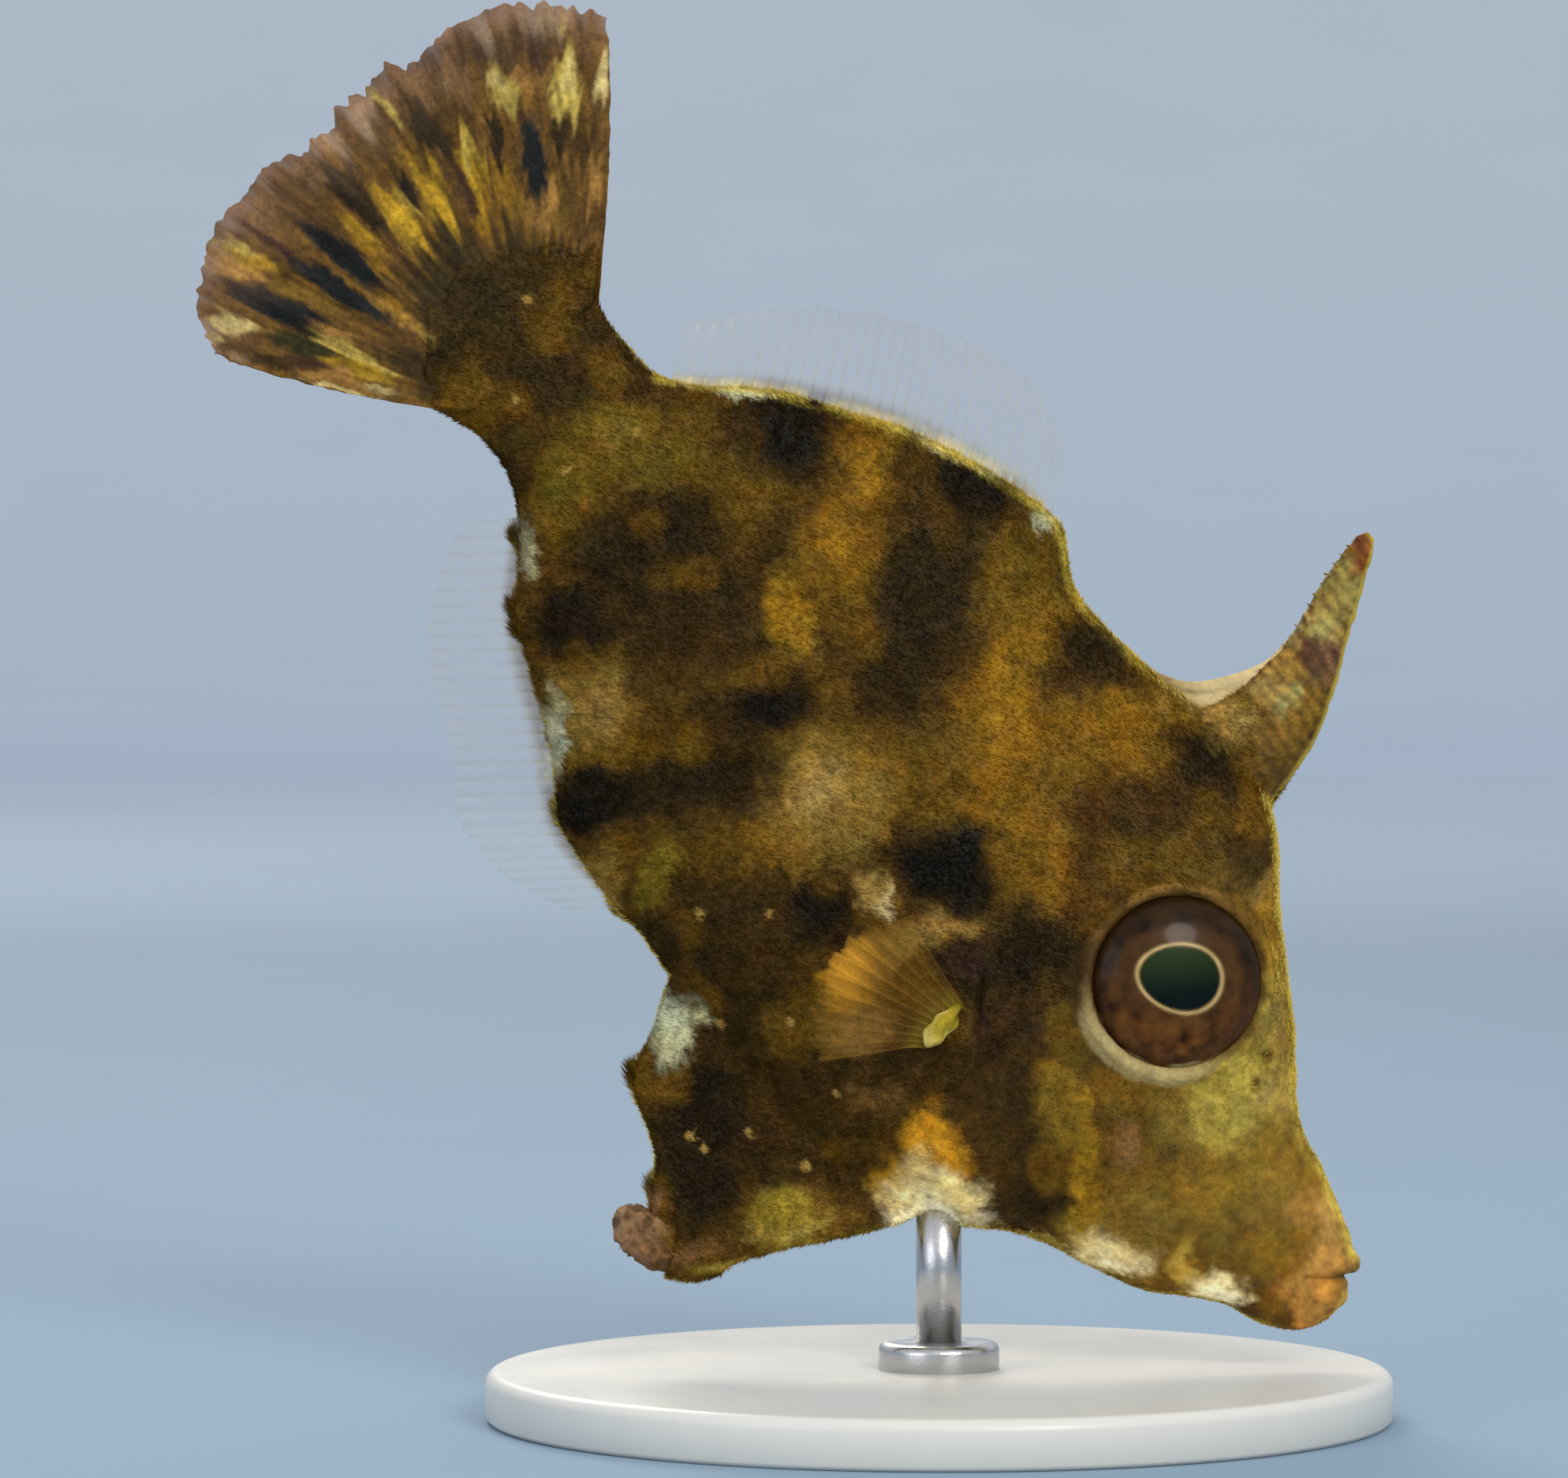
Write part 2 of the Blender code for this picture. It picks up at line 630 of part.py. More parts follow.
def make_anal():
    def root(u):
        s = ANAL_SPAN[0] + (ANAL_SPAN[1] - ANAL_SPAN[0]) * u
        return place(s, 0, smooth_curve(BELLY_LINE, s) + FIN_ROOT)

    def edge(u):
        s = ANAL_SPAN[0] + (ANAL_SPAN[1] - ANAL_SPAN[0]) * u
        length = smooth_curve(ANAL_HEIGHT, u)
        lean = math.radians(FIN_LEAN)
        return place(s + length * math.sin(lean), 0, smooth_curve(BELLY_LINE, s) - length * math.cos(lean))

    def bend(u, v):
        return Vector((0, WAVE * v * v * math.cos(math.tau * WAVES * u), 0)) * MM

    fin = rayed_fin("anal_fin", ANAL_RAYS, 4, root, edge, "fin", SOFT_ROOT_THICKNESS, bend)
    return combine(fin, [body_shape(GAP)], "DIFFERENCE")


def make_caudal():
    def root(u):
        s, h = along(CAUDAL_ROOT, u)
        return place(s, 0, h)

    def edge(u):
        s, h = along(CAUDAL_EDGE, u)
        return place(s, 0, h)

    def bend(u, v):
        outwards = (1 - 2 * u) * math.sin(math.pi * v)
        return place(0, 0, CAUDAL_BULGE * outwards)

    fin = rayed_fin("caudal_fin", CAUDAL_RAYS, 7, root, edge, "tail", CAUDAL_ROOT_THICKNESS, bend)
    return combine(fin, [body_shape(GAP)], "DIFFERENCE")


def make_pectoral(name, side):
    def root(u):
        s, h = along(PECTORAL_ROOT, u)
        return place(s, side * (flank(s, h) - PECTORAL_SINK), h)

    def edge(u):
        s, h = along(PECTORAL_EDGE, u)
        return place(s, side * (flank(*PECTORAL_ROOT[0]) + PECTORAL_FLARE), h)

    def bend(u, v):
        return Vector((0, side * PECTORAL_CUP * math.sin(math.pi * u) * v, 0)) * MM

    fin = rayed_fin(name, PECTORAL_RAYS, 4, root, edge, "fin", SOFT_ROOT_THICKNESS, bend)
    s, h = PECTORAL_LOBE["at"]
    lobe = ellipsoid(place(s, side * (flank(s, h) + GAP), h), PECTORAL_LOBE["radii"], 12)
    combine(fin, [lobe], "UNION")
    return combine(fin, [body_shape(GAP)], "DIFFERENCE")


def knob_shape(grow=0.0):
    """Blunt finger of fused scales at the tip of the pelvis."""
    rings = []
    sides = 10
    for k, (s, h) in enumerate(KNOB_LINE):
        before, after = KNOB_LINE[max(k - 1, 0)], KNOB_LINE[min(k + 1, len(KNOB_LINE) - 1)]
        run = (place(after[0], 0, after[1]) - place(before[0], 0, before[1])).normalized()
        up = run.cross(Vector((0, 1, 0)))
        radius = KNOB_RADII[k] + grow
        ring = []
        for i in range(sides):
            angle = math.tau * i / sides
            offset = up * math.cos(angle) + Vector((0, 0.85 * math.sin(angle), 0))
            ring.append(place(s, 0, h) + offset * radius * MM)
        rings.append(ring)
    return loft(rings)


def make_knob():
    knob = new_object("pelvic_knob", knob_shape(), "knob")
    spines = []
    for k in range(KNOB_SPINES):
        share = 0.35 + 0.6 * k / KNOB_SPINES
        s, h = along(KNOB_LINE, share)
        angle = 2.4 * k
        out = Vector((0, math.sin(angle), -math.cos(angle)))
        back = Vector((-1, 0, -0.2))
        foot = place(s, 0, h) + out * KNOB_SPINE["sink"] * MM
        tip = foot + (out * KNOB_SPINE["rise"] + back * KNOB_SPINE["lean"]) * MM
        spines.append(cone(tip, foot, KNOB_SPINE["radius"]))
    return combine(knob, spines, "UNION")


def make_flap():
    def point(u, v):
        (s0, h0), (s1, h1) = FLAP_ROOT
        foot = place(s0 + (s1 - s0) * u, 0, h0 + (h1 - h0) * u)
        s, h = along(FLAP_EDGE, u)
        return foot.lerp(place(s, 0, h), v)

    def half(u, v):
        leading = max(0.0, 1 - u / 0.2)
        fade = max(0.0, 1 - v / 0.6)
        thick = FLAP_THICKNESS + (PELVIS_THICKNESS - FLAP_THICKNESS) * leading
        thick += (FLAP_ROOT_THICKNESS - thick) * fade * fade
        rim = min(1.0, 6 * (1 - v) + 0.45)
        return thick / 2 * rim

    flap = new_object("pelvic_flap", thin_sheet(26, 8, point, half), "skin")
    return combine(flap, [body_shape(GAP), knob_shape(GAP)], "DIFFERENCE")


def turned(name, profile, lift, around, finish):
    """Solid turned round the upright axis from an (r, z) profile, from its foot to its top."""
    rings = []
    for r, z in profile:
        turns = [math.tau * i / around for i in range(around)]
        rings.append([Vector((r * math.cos(a), r * math.sin(a), z + lift)) * MM for a in turns])
    return new_object(name, loft(rings), finish)


def rounded_disc(radius, height, edge):
    """Profile of a disc with a slight chamfer below and a rounded edge above."""
    profile = [(radius - BASE_CHAMFER, 0), (radius, BASE_CHAMFER)]
    for k in range(4):
        turn = math.pi / 6 * k
        profile.append((radius - edge + edge * math.cos(turn), height - edge + edge * math.sin(turn)))
    return profile


def make_stand(pose):
    """Round base, a low boss on it, and a short rod that is cut to the throat that it holds."""
    turned("stand_base", rounded_disc(BASE_RADIUS, BASE_THICKNESS, BASE_EDGE), 0, 64, "base")
    boss_foot = BASE_THICKNESS + GAP
    turned("stand_boss", rounded_disc(BOSS_RADIUS, BOSS_HEIGHT, BASE_EDGE), boss_foot, 32, "steel")
    rod_foot = boss_foot + BOSS_HEIGHT + GAP
    inside_throat = pose @ place(ROD_AT, 0, smooth_curve(BELLY_LINE, ROD_AT) + ROD_REACH)
    rod_profile = ((ROD_RADIUS, rod_foot), (ROD_RADIUS, inside_throat.z / MM))
    rod = turned("stand_rod", rod_profile, 0, 20, "steel")
    cutter = body_shape(GAP)
    cutter.transform(pose)
    return combine(rod, [cutter], "DIFFERENCE")


def dive_pose():
    """Matrix that tips the fish nose down, with its throat over the rod and its jaw clear of the base."""
    turn = Matrix.Rotation(math.radians(DIVE_ANGLE), 4, "Y")
    throat = turn @ place(ROD_AT, 0, smooth_curve(BELLY_LINE, ROD_AT))
    lowest = min((turn @ place(s, 0, h)).z for s, h in BELLY_LINE)
    lift = (BASE_THICKNESS + CLEARANCE) * MM - lowest
    return Matrix.Translation((-throat.x, 0, lift)) @ turn


def make_model():
    fish = [make_head()]
    fish.append(new_object("torso", cut_off(cut_off(body_shape(), HEAD_CUT, False), STALK_CUT, True), "skin"))
    fish.append(new_object("tail_stalk", cut_off(body_shape(), STALK_CUT, False), "skin"))
    fish += [make_flap(), make_knob(), make_spine(), make_spine_web(), make_soft_dorsal(), make_anal(), make_caudal()]
    for name, side in (("right", -1), ("left", 1)):
        fish.append(make_eye("eye_" + name, side))
        fish.append(make_pectoral("pectoral_fin_" + name, side))
    pose = dive_pose()
    holder = bpy.data.objects.new("dive", None)
    bpy.context.scene.collection.objects.link(holder)
    holder.matrix_world = pose
    for obj in fish:
        obj.parent = holder
    make_stand(pose)


make_model()
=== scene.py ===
"""Looks of the life-size bristle-tail filefish on its display stand: skin, coat, eyes, fins, stand and studio."""
import math
from itertools import product

import bpy
import numpy as np
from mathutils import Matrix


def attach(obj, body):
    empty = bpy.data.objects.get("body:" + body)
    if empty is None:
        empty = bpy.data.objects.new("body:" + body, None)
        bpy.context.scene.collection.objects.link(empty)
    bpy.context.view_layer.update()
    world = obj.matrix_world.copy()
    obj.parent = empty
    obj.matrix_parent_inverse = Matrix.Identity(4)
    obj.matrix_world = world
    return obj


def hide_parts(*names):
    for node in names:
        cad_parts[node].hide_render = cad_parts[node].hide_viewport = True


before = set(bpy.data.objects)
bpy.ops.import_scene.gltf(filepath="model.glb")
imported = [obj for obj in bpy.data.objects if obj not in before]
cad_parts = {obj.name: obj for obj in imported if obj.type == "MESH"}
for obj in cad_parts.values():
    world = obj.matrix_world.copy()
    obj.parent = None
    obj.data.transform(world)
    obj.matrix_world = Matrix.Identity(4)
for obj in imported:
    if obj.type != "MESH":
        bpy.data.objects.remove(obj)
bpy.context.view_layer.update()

# The dive: the fish is shaped level, in millimetres, with x ahead of the snout, y to its left and z up. One turn
# and one lift then set it nose down over the stand, just as its solids stand there, in metres.
MM = 0.001
DIVE = math.radians(49.0)
BASE_THICKNESS = 2.0
CLEARANCE = 1.5
ROD_AT = 12.4
BACK_LINE = (
    (-0.75, -2.0), (-0.4, -1.1), (0.4, 0.0), (1.3, 0.7), (3.7, 1.45), (6.0, 2.1), (9.1, 4.4), (13.0, 7.0),
    (15.9, 9.2), (19.4, 10.0), (22.6, 9.5), (27.6, 9.2), (30.3, 10.4), (35.8, 8.8), (41.2, 5.6), (44.5, 2.6),
    (46.4, 2.1), (48.7, 2.4), (50.2, 3.1),
)
BELLY_LINE = (
    (-0.75, -2.4), (-0.5, -3.2), (-0.1, -3.7), (1.0, -4.5), (2.5, -5.1), (5.1, -7.2), (9.7, -9.2),
    (12.2, -11.2), (14.5, -12.6), (19.0, -13.4), (25.2, -13.3), (28.4, -12.9), (33.6, -12.6), (36.6, -10.8),
    (41.4, -8.3), (44.7, -5.5), (47.5, -4.7), (50.2, -5.5),
)


def curve(points, x):
    """Values at x of a smooth curve through (x, value) points, level past both ends."""
    px, py = np.array(points, float).T
    rise = np.append(py[1:], py[-1]) - np.append(py[0], py[:-1])
    run = np.append(px[1:], px[-1]) - np.append(px[0], px[:-1])
    slope = rise / run
    x = np.asarray(x, float)
    i = np.clip(np.searchsorted(px, x, side="right") - 1, 0, len(px) - 2)
    width = px[i + 1] - px[i]
    t = np.clip((x - px[i]) / width, 0, 1)
    value = (2 * t**3 - 3 * t**2 + 1) * py[i] + (3 * t**2 - 2 * t**3) * py[i + 1]
    return value + width * ((t**3 - 2 * t**2 + t) * slope[i] + (t**3 - t**2) * slope[i + 1])


def fish_point(s, y, h):
    """Points s behind the snout, y to the left and h above the axis."""
    return np.stack(np.broadcast_arrays(-np.asarray(s, float), y, h), -1)


TURN = np.array([[math.cos(DIVE), 0, math.sin(DIVE)], [0, 1, 0], [-math.sin(DIVE), 0, math.cos(DIVE)]])
throat = TURN @ fish_point(ROD_AT, 0, curve(BELLY_LINE, ROD_AT))
lowest = min((TURN @ fish_point(s, 0, h))[2] for s, h in BELLY_LINE)
SHIFT = np.array([-throat[0], 0, BASE_THICKNESS + CLEARANCE - lowest])


def in_row(points):
    """Points of the level fish, in millimetres, as metres in the row frame."""
    return (points @ TURN.T + SHIFT) * MM


# Colours of the skin: dark and light blotches over olive brown, as on the living fish, with a painted rim light along
# the outlines, partly laid as pale blotches. Each blotch is a soft oval (s, h, half length, half width, strength and,
# where it lies another way than most, its tilt in degrees). They stand in groups of one tone, each group over the ones
# before it, and the same blotches colour the coat.
SKIN_BASE = (90, 65, 22)
SKIN_TILT = 131
FLAP_EDGE = (
    (13.3, -12.6), (15.6, -16.9), (17.5, -20.1), (19.6, -20.2), (20.6, -19.4), (21.8, -18.2), (24.5, -17.0),
    (25.5, -15.2), (26.4, -13.7),
)
TONES = {
    "ink": (27, 23, 15), "umber": (44, 34, 15), "brown": (66, 48, 19), "olive": (97, 74, 21),
    "moss": (116, 98, 30), "ochre": (127, 91, 22), "gold": (159, 118, 28), "tan": (143, 112, 48),
    "sand": (162, 130, 68), "cream": (242, 220, 154), "white": (255, 240, 194), "rust": (80, 48, 18),
    "plum": (60, 42, 32), "mist": (202, 204, 164), "khaki": (112, 84, 28), "cheek": (172, 152, 66),
    "lip": (176, 131, 66), "jaw": (178, 126, 58), "pink": (146, 104, 72), "flame": (196, 140, 34),
    "slate": (28, 30, 30), "pine": (50, 48, 22), "mauve": (120, 88, 56), "maroon": (62, 40, 28),
    "straw": (172, 148, 70), "clay": (152, 110, 54), "root": (62, 48, 21), "horn": (142, 124, 62),
    "tip": (114, 66, 29), "dusk": (102, 74, 52), "leaf": (150, 142, 86), "citron": (146, 126, 44),
    "wheat": (140, 114, 46), "sun": (158, 122, 32), "bone": (204, 180, 114),
}
SKIN_MARKS = (
    ("brown", (48.8, -0.4, 5.3, 3.8, 1), (47, -4, 1.6, 2.2, 1), (36, -2.8, 5.3, 3.1, 1, 106),
     (30.6, 3.4, 2.7, 4.7, 1, 136), (27.5, -11.1, 4.1, 2.8, 1), (22.8, -11.9, 4.4, 3.4, 1), (20.4, -14.8, 4.7, 3.4, 1),
     (17.5, -8.2, 4.7, 2.2, 1, 126), (16.9, -4.2, 3.8, 2.2, 1), (18, 5.1, 3.8, 2.5, 0.8), (17.8, 9.1, 2.8, 2.8, 0.9),
     (39.6, 4.5, 3.8, 2.8, 0.8), (33.2, 7.6, 3.4, 3.8, 0.8), (30.7, -6.2, 4.7, 1.9, 1, 119), (25.3, -7.2, 3.4, 1.9, 1),
     (25.6, 6.3, 2.8, 1.2, 0.6, 171), (19.4, -2.8, 3.8, 1.9, 0.9), (19.2, -8.7, 2.8, 1.9, 0.6),
     (45.9, 1.6, 2.8, 0.9, 0.9, 166)),
    ("olive", (44.3, -0.9, 3.8, 1.7, 0.8, 121), (43, -3.7, 1.9, 1.9, 0.8), (40.3, 0.9, 2.5, 1.9, 0.6),
     (33.1, 3.4, 2.2, 2.2, 0.8), (29.4, 7.6, 2.2, 3.1, 0.9), (29.7, -8.7, 2.2, 1.2, 0.6), (14.5, -2.9, 1.6, 1.6, 0.6),
     (23.2, 4.3, 1.9, 1.9, 0.6), (22.2, 9.2, 1.9, 1.2, 0.8, 166), (34.7, -6, 1.9, 1.9, 0.3), (39, 2.3, 1.9, 1.2, 0.4)),
    ("moss", (44.6, -0.3, 1.9, 0.9, 0.6), (44.2, -3.1, 1.4, 1.2, 0.5), (42.2, 0.1, 1.7, 1, 0.6, 121),
     (30.1, -10.7, 0.8, 1.9, 0.9, 143)),
    ("ochre", (36.9, 6, 1.6, 2.3, 0.9, 151), (35.2, 2.9, 1.7, 2.3, 0.9, 146), (25, 2.7, 1.9, 4.4, 1, 127),
     (27.6, 6.4, 1.7, 1.9, 0.8), (22.1, 7, 2.3, 1.7, 0.9, 161), (20.5, 1.5, 1.2, 2.3, 0.9, 123),
     (24.1, 0.9, 1.9, 1.9, 0.7), (27.6, -6, 1.7, 1.1, 0.9), (26.8, -1.7, 1.9, 1.9, 0.8), (35, -8.7, 1.9, 1.2, 0.6),
     (10, -5.8, 0.8, 2.3, 0.9, 125), (20.5, -6, 1.9, 1.2, 0.5), (29.4, -2.8, 2.8, 1.6, 0.6),
     (23.7, 5.1, 2.2, 1.6, 0.7)),
    ("gold", (34.4, 0, 0.9, 1.8, 0.9, 111), (35.3, 3.2, 0.8, 1.1, 0.4), (26, 4, 1.1, 2.5, 0.5),
     (13.6, -4.5, 0.7, 0.5, 0.5), (36.6, 6, 0.8, 1.2, 0.4, 151)),
    ("tan", (28, -3.6, 2.6, 2.7, 0.9, 146), (37, -8.2, 1.9, 2.2, 0.8, 121), (44.3, -0.9, 0.9, 0.8, 0.3),
     (21.5, -4.2, 2.2, 0.8, 0.8, 123), (20.8, 1.8, 0.7, 1.2, 0.5, 123), (16.4, -15.3, 1.1, 1.1, 0.8),
     (31.4, -12.7, 1.1, 1.6, 0.8, 151), (15.4, 6.6, 1.2, 0.6, 0.4, 11)),
    ("rust", (20, 6, 1.6, 0.9, 0.3), (39.2, -8.3, 0.9, 0.6, 0.5, 161), (8.6, -8, 1.9, 0.4, 0.5, 153)),
    ("sand", (28.4, -3.6, 1.2, 1.4, 0.8, 146), (24.2, -4.7, 0.6, 0.8, 0.8, 101), (21, -3.4, 0.9, 0.4, 0.7, 141),
     (36.5, -8.2, 0.9, 1.2, 0.4), (30.4, -13.1, 0.5, 0.7, 0.6)),
    ("umber", (40.3, -2.4, 3.8, 2.2, 0.95, 99), (37.8, -2.5, 3.1, 1.9, 0.6, 101), (31.6, 4.1, 1.9, 2.5, 0.9, 136),
     (29.9, 1.4, 1.6, 1.6, 0.7), (31.7, -6.6, 3.4, 1.3, 0.95, 119), (39.7, 4.9, 2.3, 2.3, 0.8),
     (33.8, 8.5, 2.7, 2.7, 0.9), (25.4, 8.2, 1.9, 1.4, 0.85, 166), (18.9, 9.2, 2.7, 1.6, 0.9, 126),
     (15.3, 7.9, 0.8, 1.9, 0.8, 141), (18.4, -2.8, 3, 1.2, 0.9), (15.3, -4.3, 1.9, 1.2, 0.7),
     (17.1, -6.3, 1.9, 1.1, 0.6), (11.5, -7, 1.2, 2.2, 0.9, 141), (26.7, -12.6, 1.6, 2.2, 0.6, 146),
     (20.2, -16.6, 2.5, 3.4, 0.9), (18.1, -0.8, 1.6, 1.1, 0.7), (44.9, -5.4, 0.6, 1.9, 0.6, 121),
     (23.2, -11.5, 1.9, 1.9, 0.4), (47.9, -0.7, 2.2, 1.6, 0.5), (50.8, -0.7, 1.2, 1.2, 0.5), (16, -1.2, 0.8, 2.8, 0.5),
     (32.4, -3.4, 3.4, 1.6, 0.7, 121)),
    ("ink", (39.9, 4.9, 1.4, 1.5, 0.95), (34.1, 9, 1.8, 1.6, 0.9), (39.9, -6.8, 1.8, 1.8, 0.9),
     (32.2, -2.6, 1.8, 1.2, 0.95, 123), (33.9, -10.5, 2, 1.4, 0.95, 123), (23.1, -1.9, 2.5, 1.8, 1, 136),
     (22.9, -0.8, 1.6, 1.2, 0.8), (24.8, -6.6, 1.6, 1.2, 0.9), (21.7, -15.1, 1.4, 1.8, 0.95),
     (20.1, -17.3, 1.3, 1.6, 0.85), (18.5, 10.4, 0.8, 0.6, 0.8), (10, -7.7, 0.9, 1.1, 0.8, 141),
     (18, -1.9, 1.6, 0.7, 0.5), (10.5, -6.8, 0.6, 1.2, 0.5), (21.7, -1.6, 1.4, 1.1, 0.6),
     (25.1, 8.4, 1.1, 0.8, 0.5, 166), (33.7, -11.5, 1.2, 0.8, 0.8), (20.2, 8.7, 1.2, 0.8, 0.5)),
    ("plum", (19.5, -3.6, 1.2, 0.8, 0.6), (17.3, -5.1, 0.8, 1.1, 0.6), (16.3, -3.4, 1.9, 0.9, 0.3)),
    ("cream", (23.5, -4.6, 0.3, 0.4, 0.5)),
    # The first mist blotches lie along the outlines of the back and belly as a painted rim light; the later ones are a
    # pale patch on the flap.
    ("mist", (36.8, -10.4, 0.5, 1.9, 0.6, 136), (42.8, 4.1, 1.9, 0.4, 0.8, 134), (34.3, 9.8, 3.4, 0.5, 0.7, 153),
     (30.6, 10.5, 0.6, 0.9, 0.6, 161), (43.1, -6.2, 0.4, 1.2, 0.5)),
    ("brown", (14.9, -7.1, 4.7, 2.8, 0.8), (19, -12.7, 3.4, 2.5, 0.7), (11.6, -8.2, 1.4, 1.6, 0.8),
     (10, -8.1, 1.2, 1.6, 0.7), (15.8, -12.9, 1.6, 1.6, 0.6)),
    ("khaki", (7.4, -0.4, 5.3, 5.9, 0.85), (12.2, 5.5, 2.5, 5, 0.8, 136), (17.3, 4.9, 2.8, 1.4, 0.6),
     (13.7, -3.8, 0.9, 0.8, 0.7), (2.7, -1.6, 3.1, 2.5, 0.85, 156), (5, -6.2, 3.4, 1.2, 0.8, 153),
     (16, -15.3, 2.2, 0.9, 0.7, 119)),
    ("brown", (8.1, -3.4, 1.3, 2.5, 0.75), (6.1, 2.4, 0.6, 1.3, 0.6, 111), (4.2, -2.4, 1.9, 1.4, 0.5),
     (1.6, -4.2, 1.9, 0.9, 0.85, 146), (14, -1.3, 1.1, 1.9, 0.5, 151)),
    ("umber", (10.7, -7.5, 1.1, 1.4, 0.8), (14, -5.4, 1.1, 2.2, 0.6), (18.1, -1, 1.4, 1.4, 0.5),
     (15.4, 7.2, 1.1, 1, 0.8), (5.1, -4.9, 1.2, 0.9, 0.3)),
    ("olive", (14.9, -2.7, 0.9, 1.1, 0.8), (6.4, -2.1, 1.9, 1.9, 0.5), (25.9, 0.1, 1.7, 2.5, 0.8),
     (21.4, -9.8, 2.2, 1.2, 0.7), (34.7, -8.9, 1.2, 0.9, 0.4)),
    ("ochre", (7.2, -3, 1.9, 1.1, 0.6), (11.9, -2.3, 1.2, 0.9, 0.5, 151), (12.8, -4.6, 1.2, 1.6, 0.4),
     (5.9, -0.1, 2.4, 1.4, 0.6), (2.7, -1.7, 1.4, 1.1, 0.6), (13.8, -4.2, 0.9, 1.1, 0.7), (21, 0.9, 1.6, 2.1, 0.6),
     (3.9, 0.7, 0.9, 1.6, 0.5, 111)),
    ("rust", (20.6, 3.9, 0.9, 1.2, 0.5), (18.9, 1.6, 0.7, 1.6, 0.4, 136)),
    ("pink", (10.1, -3.5, 0.6, 0.9, 0.4)),
    ("wheat", (6.5, -1.2, 3.4, 3.4, 0.4), (8.5, 3.5, 1.6, 3.8, 0.5), (7.5, -5.3, 1.9, 1.6, 0.4)),
    ("cheek", (8.6, 1.4, 2, 1.5, 0.85), (10.6, 1.6, 1.9, 0.9, 0.5, 156), (8.8, 0.4, 2.4, 1.9, 0.3),
     (8, -0.3, 1.4, 1.2, 0.5), (10.8, 4.7, 0.8, 2.2, 0.4, 136)),
    ("sand", (7.6, 2, 1.1, 1, 0.6), (13.9, 6.9, 0.6, 0.9, 0.4), (9.4, 4.2, 0.6, 2, 0.4, 123)),
    ("gold", (10.4, -5.7, 0.6, 2.3, 0.5, 135), (12.3, -3.6, 0.5, 0.4, 0.7), (8.9, -6.9, 0.7, 1.4, 0.55),
     (12.8, 6.5, 0.6, 1.9, 0.6, 135), (14.8, -11.6, 0.8, 1.2, 0.9), (4.9, -5.1, 0.6, 1.2, 0.8)),
    ("flame", (15.3, -9.4, 1.1, 1.3, 0.95), (22.1, -7.9, 0.9, 1.1, 0.9), (14.3, -9.7, 1.2, 0.9, 0.7)),
    ("clay", (20.5, -8.8, 1.6, 1.1, 0.75), (21.5, -5.6, 2, 0.3, 0.8, 99), (21.5, -3.5, 1.6, 0.4, 0.6, 141)),
    ("lip", (1.8, 0.7, 1.1, 1.9, 0.9, 117), (1, -0.6, 1.3, 0.9, 0.9), (3.1, 0.2, 0.9, 1.1, 0.45)),
    ("jaw", (-0.3, -2.1, 1.6, 0.9, 0.95, 106), (0.7, -2.3, 1.4, 0.9, 0.7)),
    ("cream", (13.3, -11, 1.9, 1.2, 1), (12.3, -9.5, 0.8, 0.7, 0.5), (6.9, -6.9, 1.6, 0.8, 0.75, 153),
     (3.2, -4.7, 1.1, 0.6, 0.9, 143), (14.8, -10.5, 0.8, 0.6, 0.4), (24.7, -14.4, 0.5, 1.1, 0.45, 141)),
    ("citron", (16.6, -16, 1.2, 1.4, 0.85), (12.8, -4.6, 1.4, 1.9, 0.25), (8.7, -7.6, 0.9, 0.9, 0.3)),
    ("straw", (4.8, -5.2, 0.5, 1.1, 0.6), (8.1, -8.5, 2.8, 0.4, 0.85, 152), (16, -15.9, 1.9, 0.3, 0.6, 117)),
    ("white", (12.6, -11.4, 2, 0.8, 1, 134), (6.9, -7.5, 1.4, 0.3, 0.7, 153), (2.9, -4.7, 0.8, 0.3, 0.7, 143)),
    ("mist", (24.8, -14.3, 0.8, 1.5, 0.85, 143), (25.8, -14.4, 0.7, 0.9, 0.7), (13.3, 8.1, 0.4, 0.6, 0.2)),
    ("pink", (20.4, -21.1, 1.1, 0.9, 0.9), (19.5, -21, 0.9, 0.6, 0.5, 146), (20.2, -19.4, 0.3, 0.8, 0.5)),
    ("brown", (18.6, -20.4, 1.1, 0.4, 0.6, 141), (20.1, -11.7, 1.9, 1.1, 0.5), (16.9, -7, 1.6, 0.9, 0.5)),
    ("umber", (32.2, 6.3, 1.9, 2.8, 0.7), (20.6, -17, 1.4, 2.8, 0.6), (30.1, 4.5, 1.9, 1.9, 0.4)),
    ("khaki", (17.8, 12, 2.2, 1.9, 0.9), (18.6, 13.3, 1.9, 1.9, 0.9), (19.9, 10.9, 1.9, 0.8, 0.6, 101)),
    ("horn", (20.2, 16.7, 1.4, 1.9, 0.95, 151), (21.3, 17.1, 0.9, 0.9, 0.7)),
    ("tip", (21.2, 19, 0.9, 1.4, 1, 151), (21, 18.1, 0.6, 0.4, 0.5)),
    ("dusk", (19.4, 15, 1.4, 1, 0.95, 111)),
    ("maroon", (19.1, 15.2, 0.4, 0.6, 0.6), (19.8, 14.3, 0.4, 0.6, 0.5)),
    ("leaf", (19.2, 12.7, 0.6, 0.7, 0.85), (20.5, 15.7, 0.4, 0.6, 0.5), (20.8, 14.6, 0.4, 0.9, 0.4, 151)),
    ("tan", (19.7, 11.6, 1.2, 0.4, 0.5, 111), (20.1, 13, 0.4, 1.2, 0.7, 156), (21.2, 10.2, 1.6, 0.6, 0.6, 146)),
    ("root", (48.6, -0.1, 2.8, 1.9, 0.8, 111), (48.5, -1.9, 1.9, 1.6, 0.6)),
    ("umber", (16.9, 12.2, 0.3, 0.9, 0.7, 156), (19.2, 9, 1.4, 1.2, 0.5)),
    ("clay", (17.7, -19.6, 0.9, 0.2, 0.4, 141), (17.8, -10, 1.1, 0.6, 0.35)),
    ("tan", (19.7, 10.3, 1.8, 0.8, 0.55, 139)),
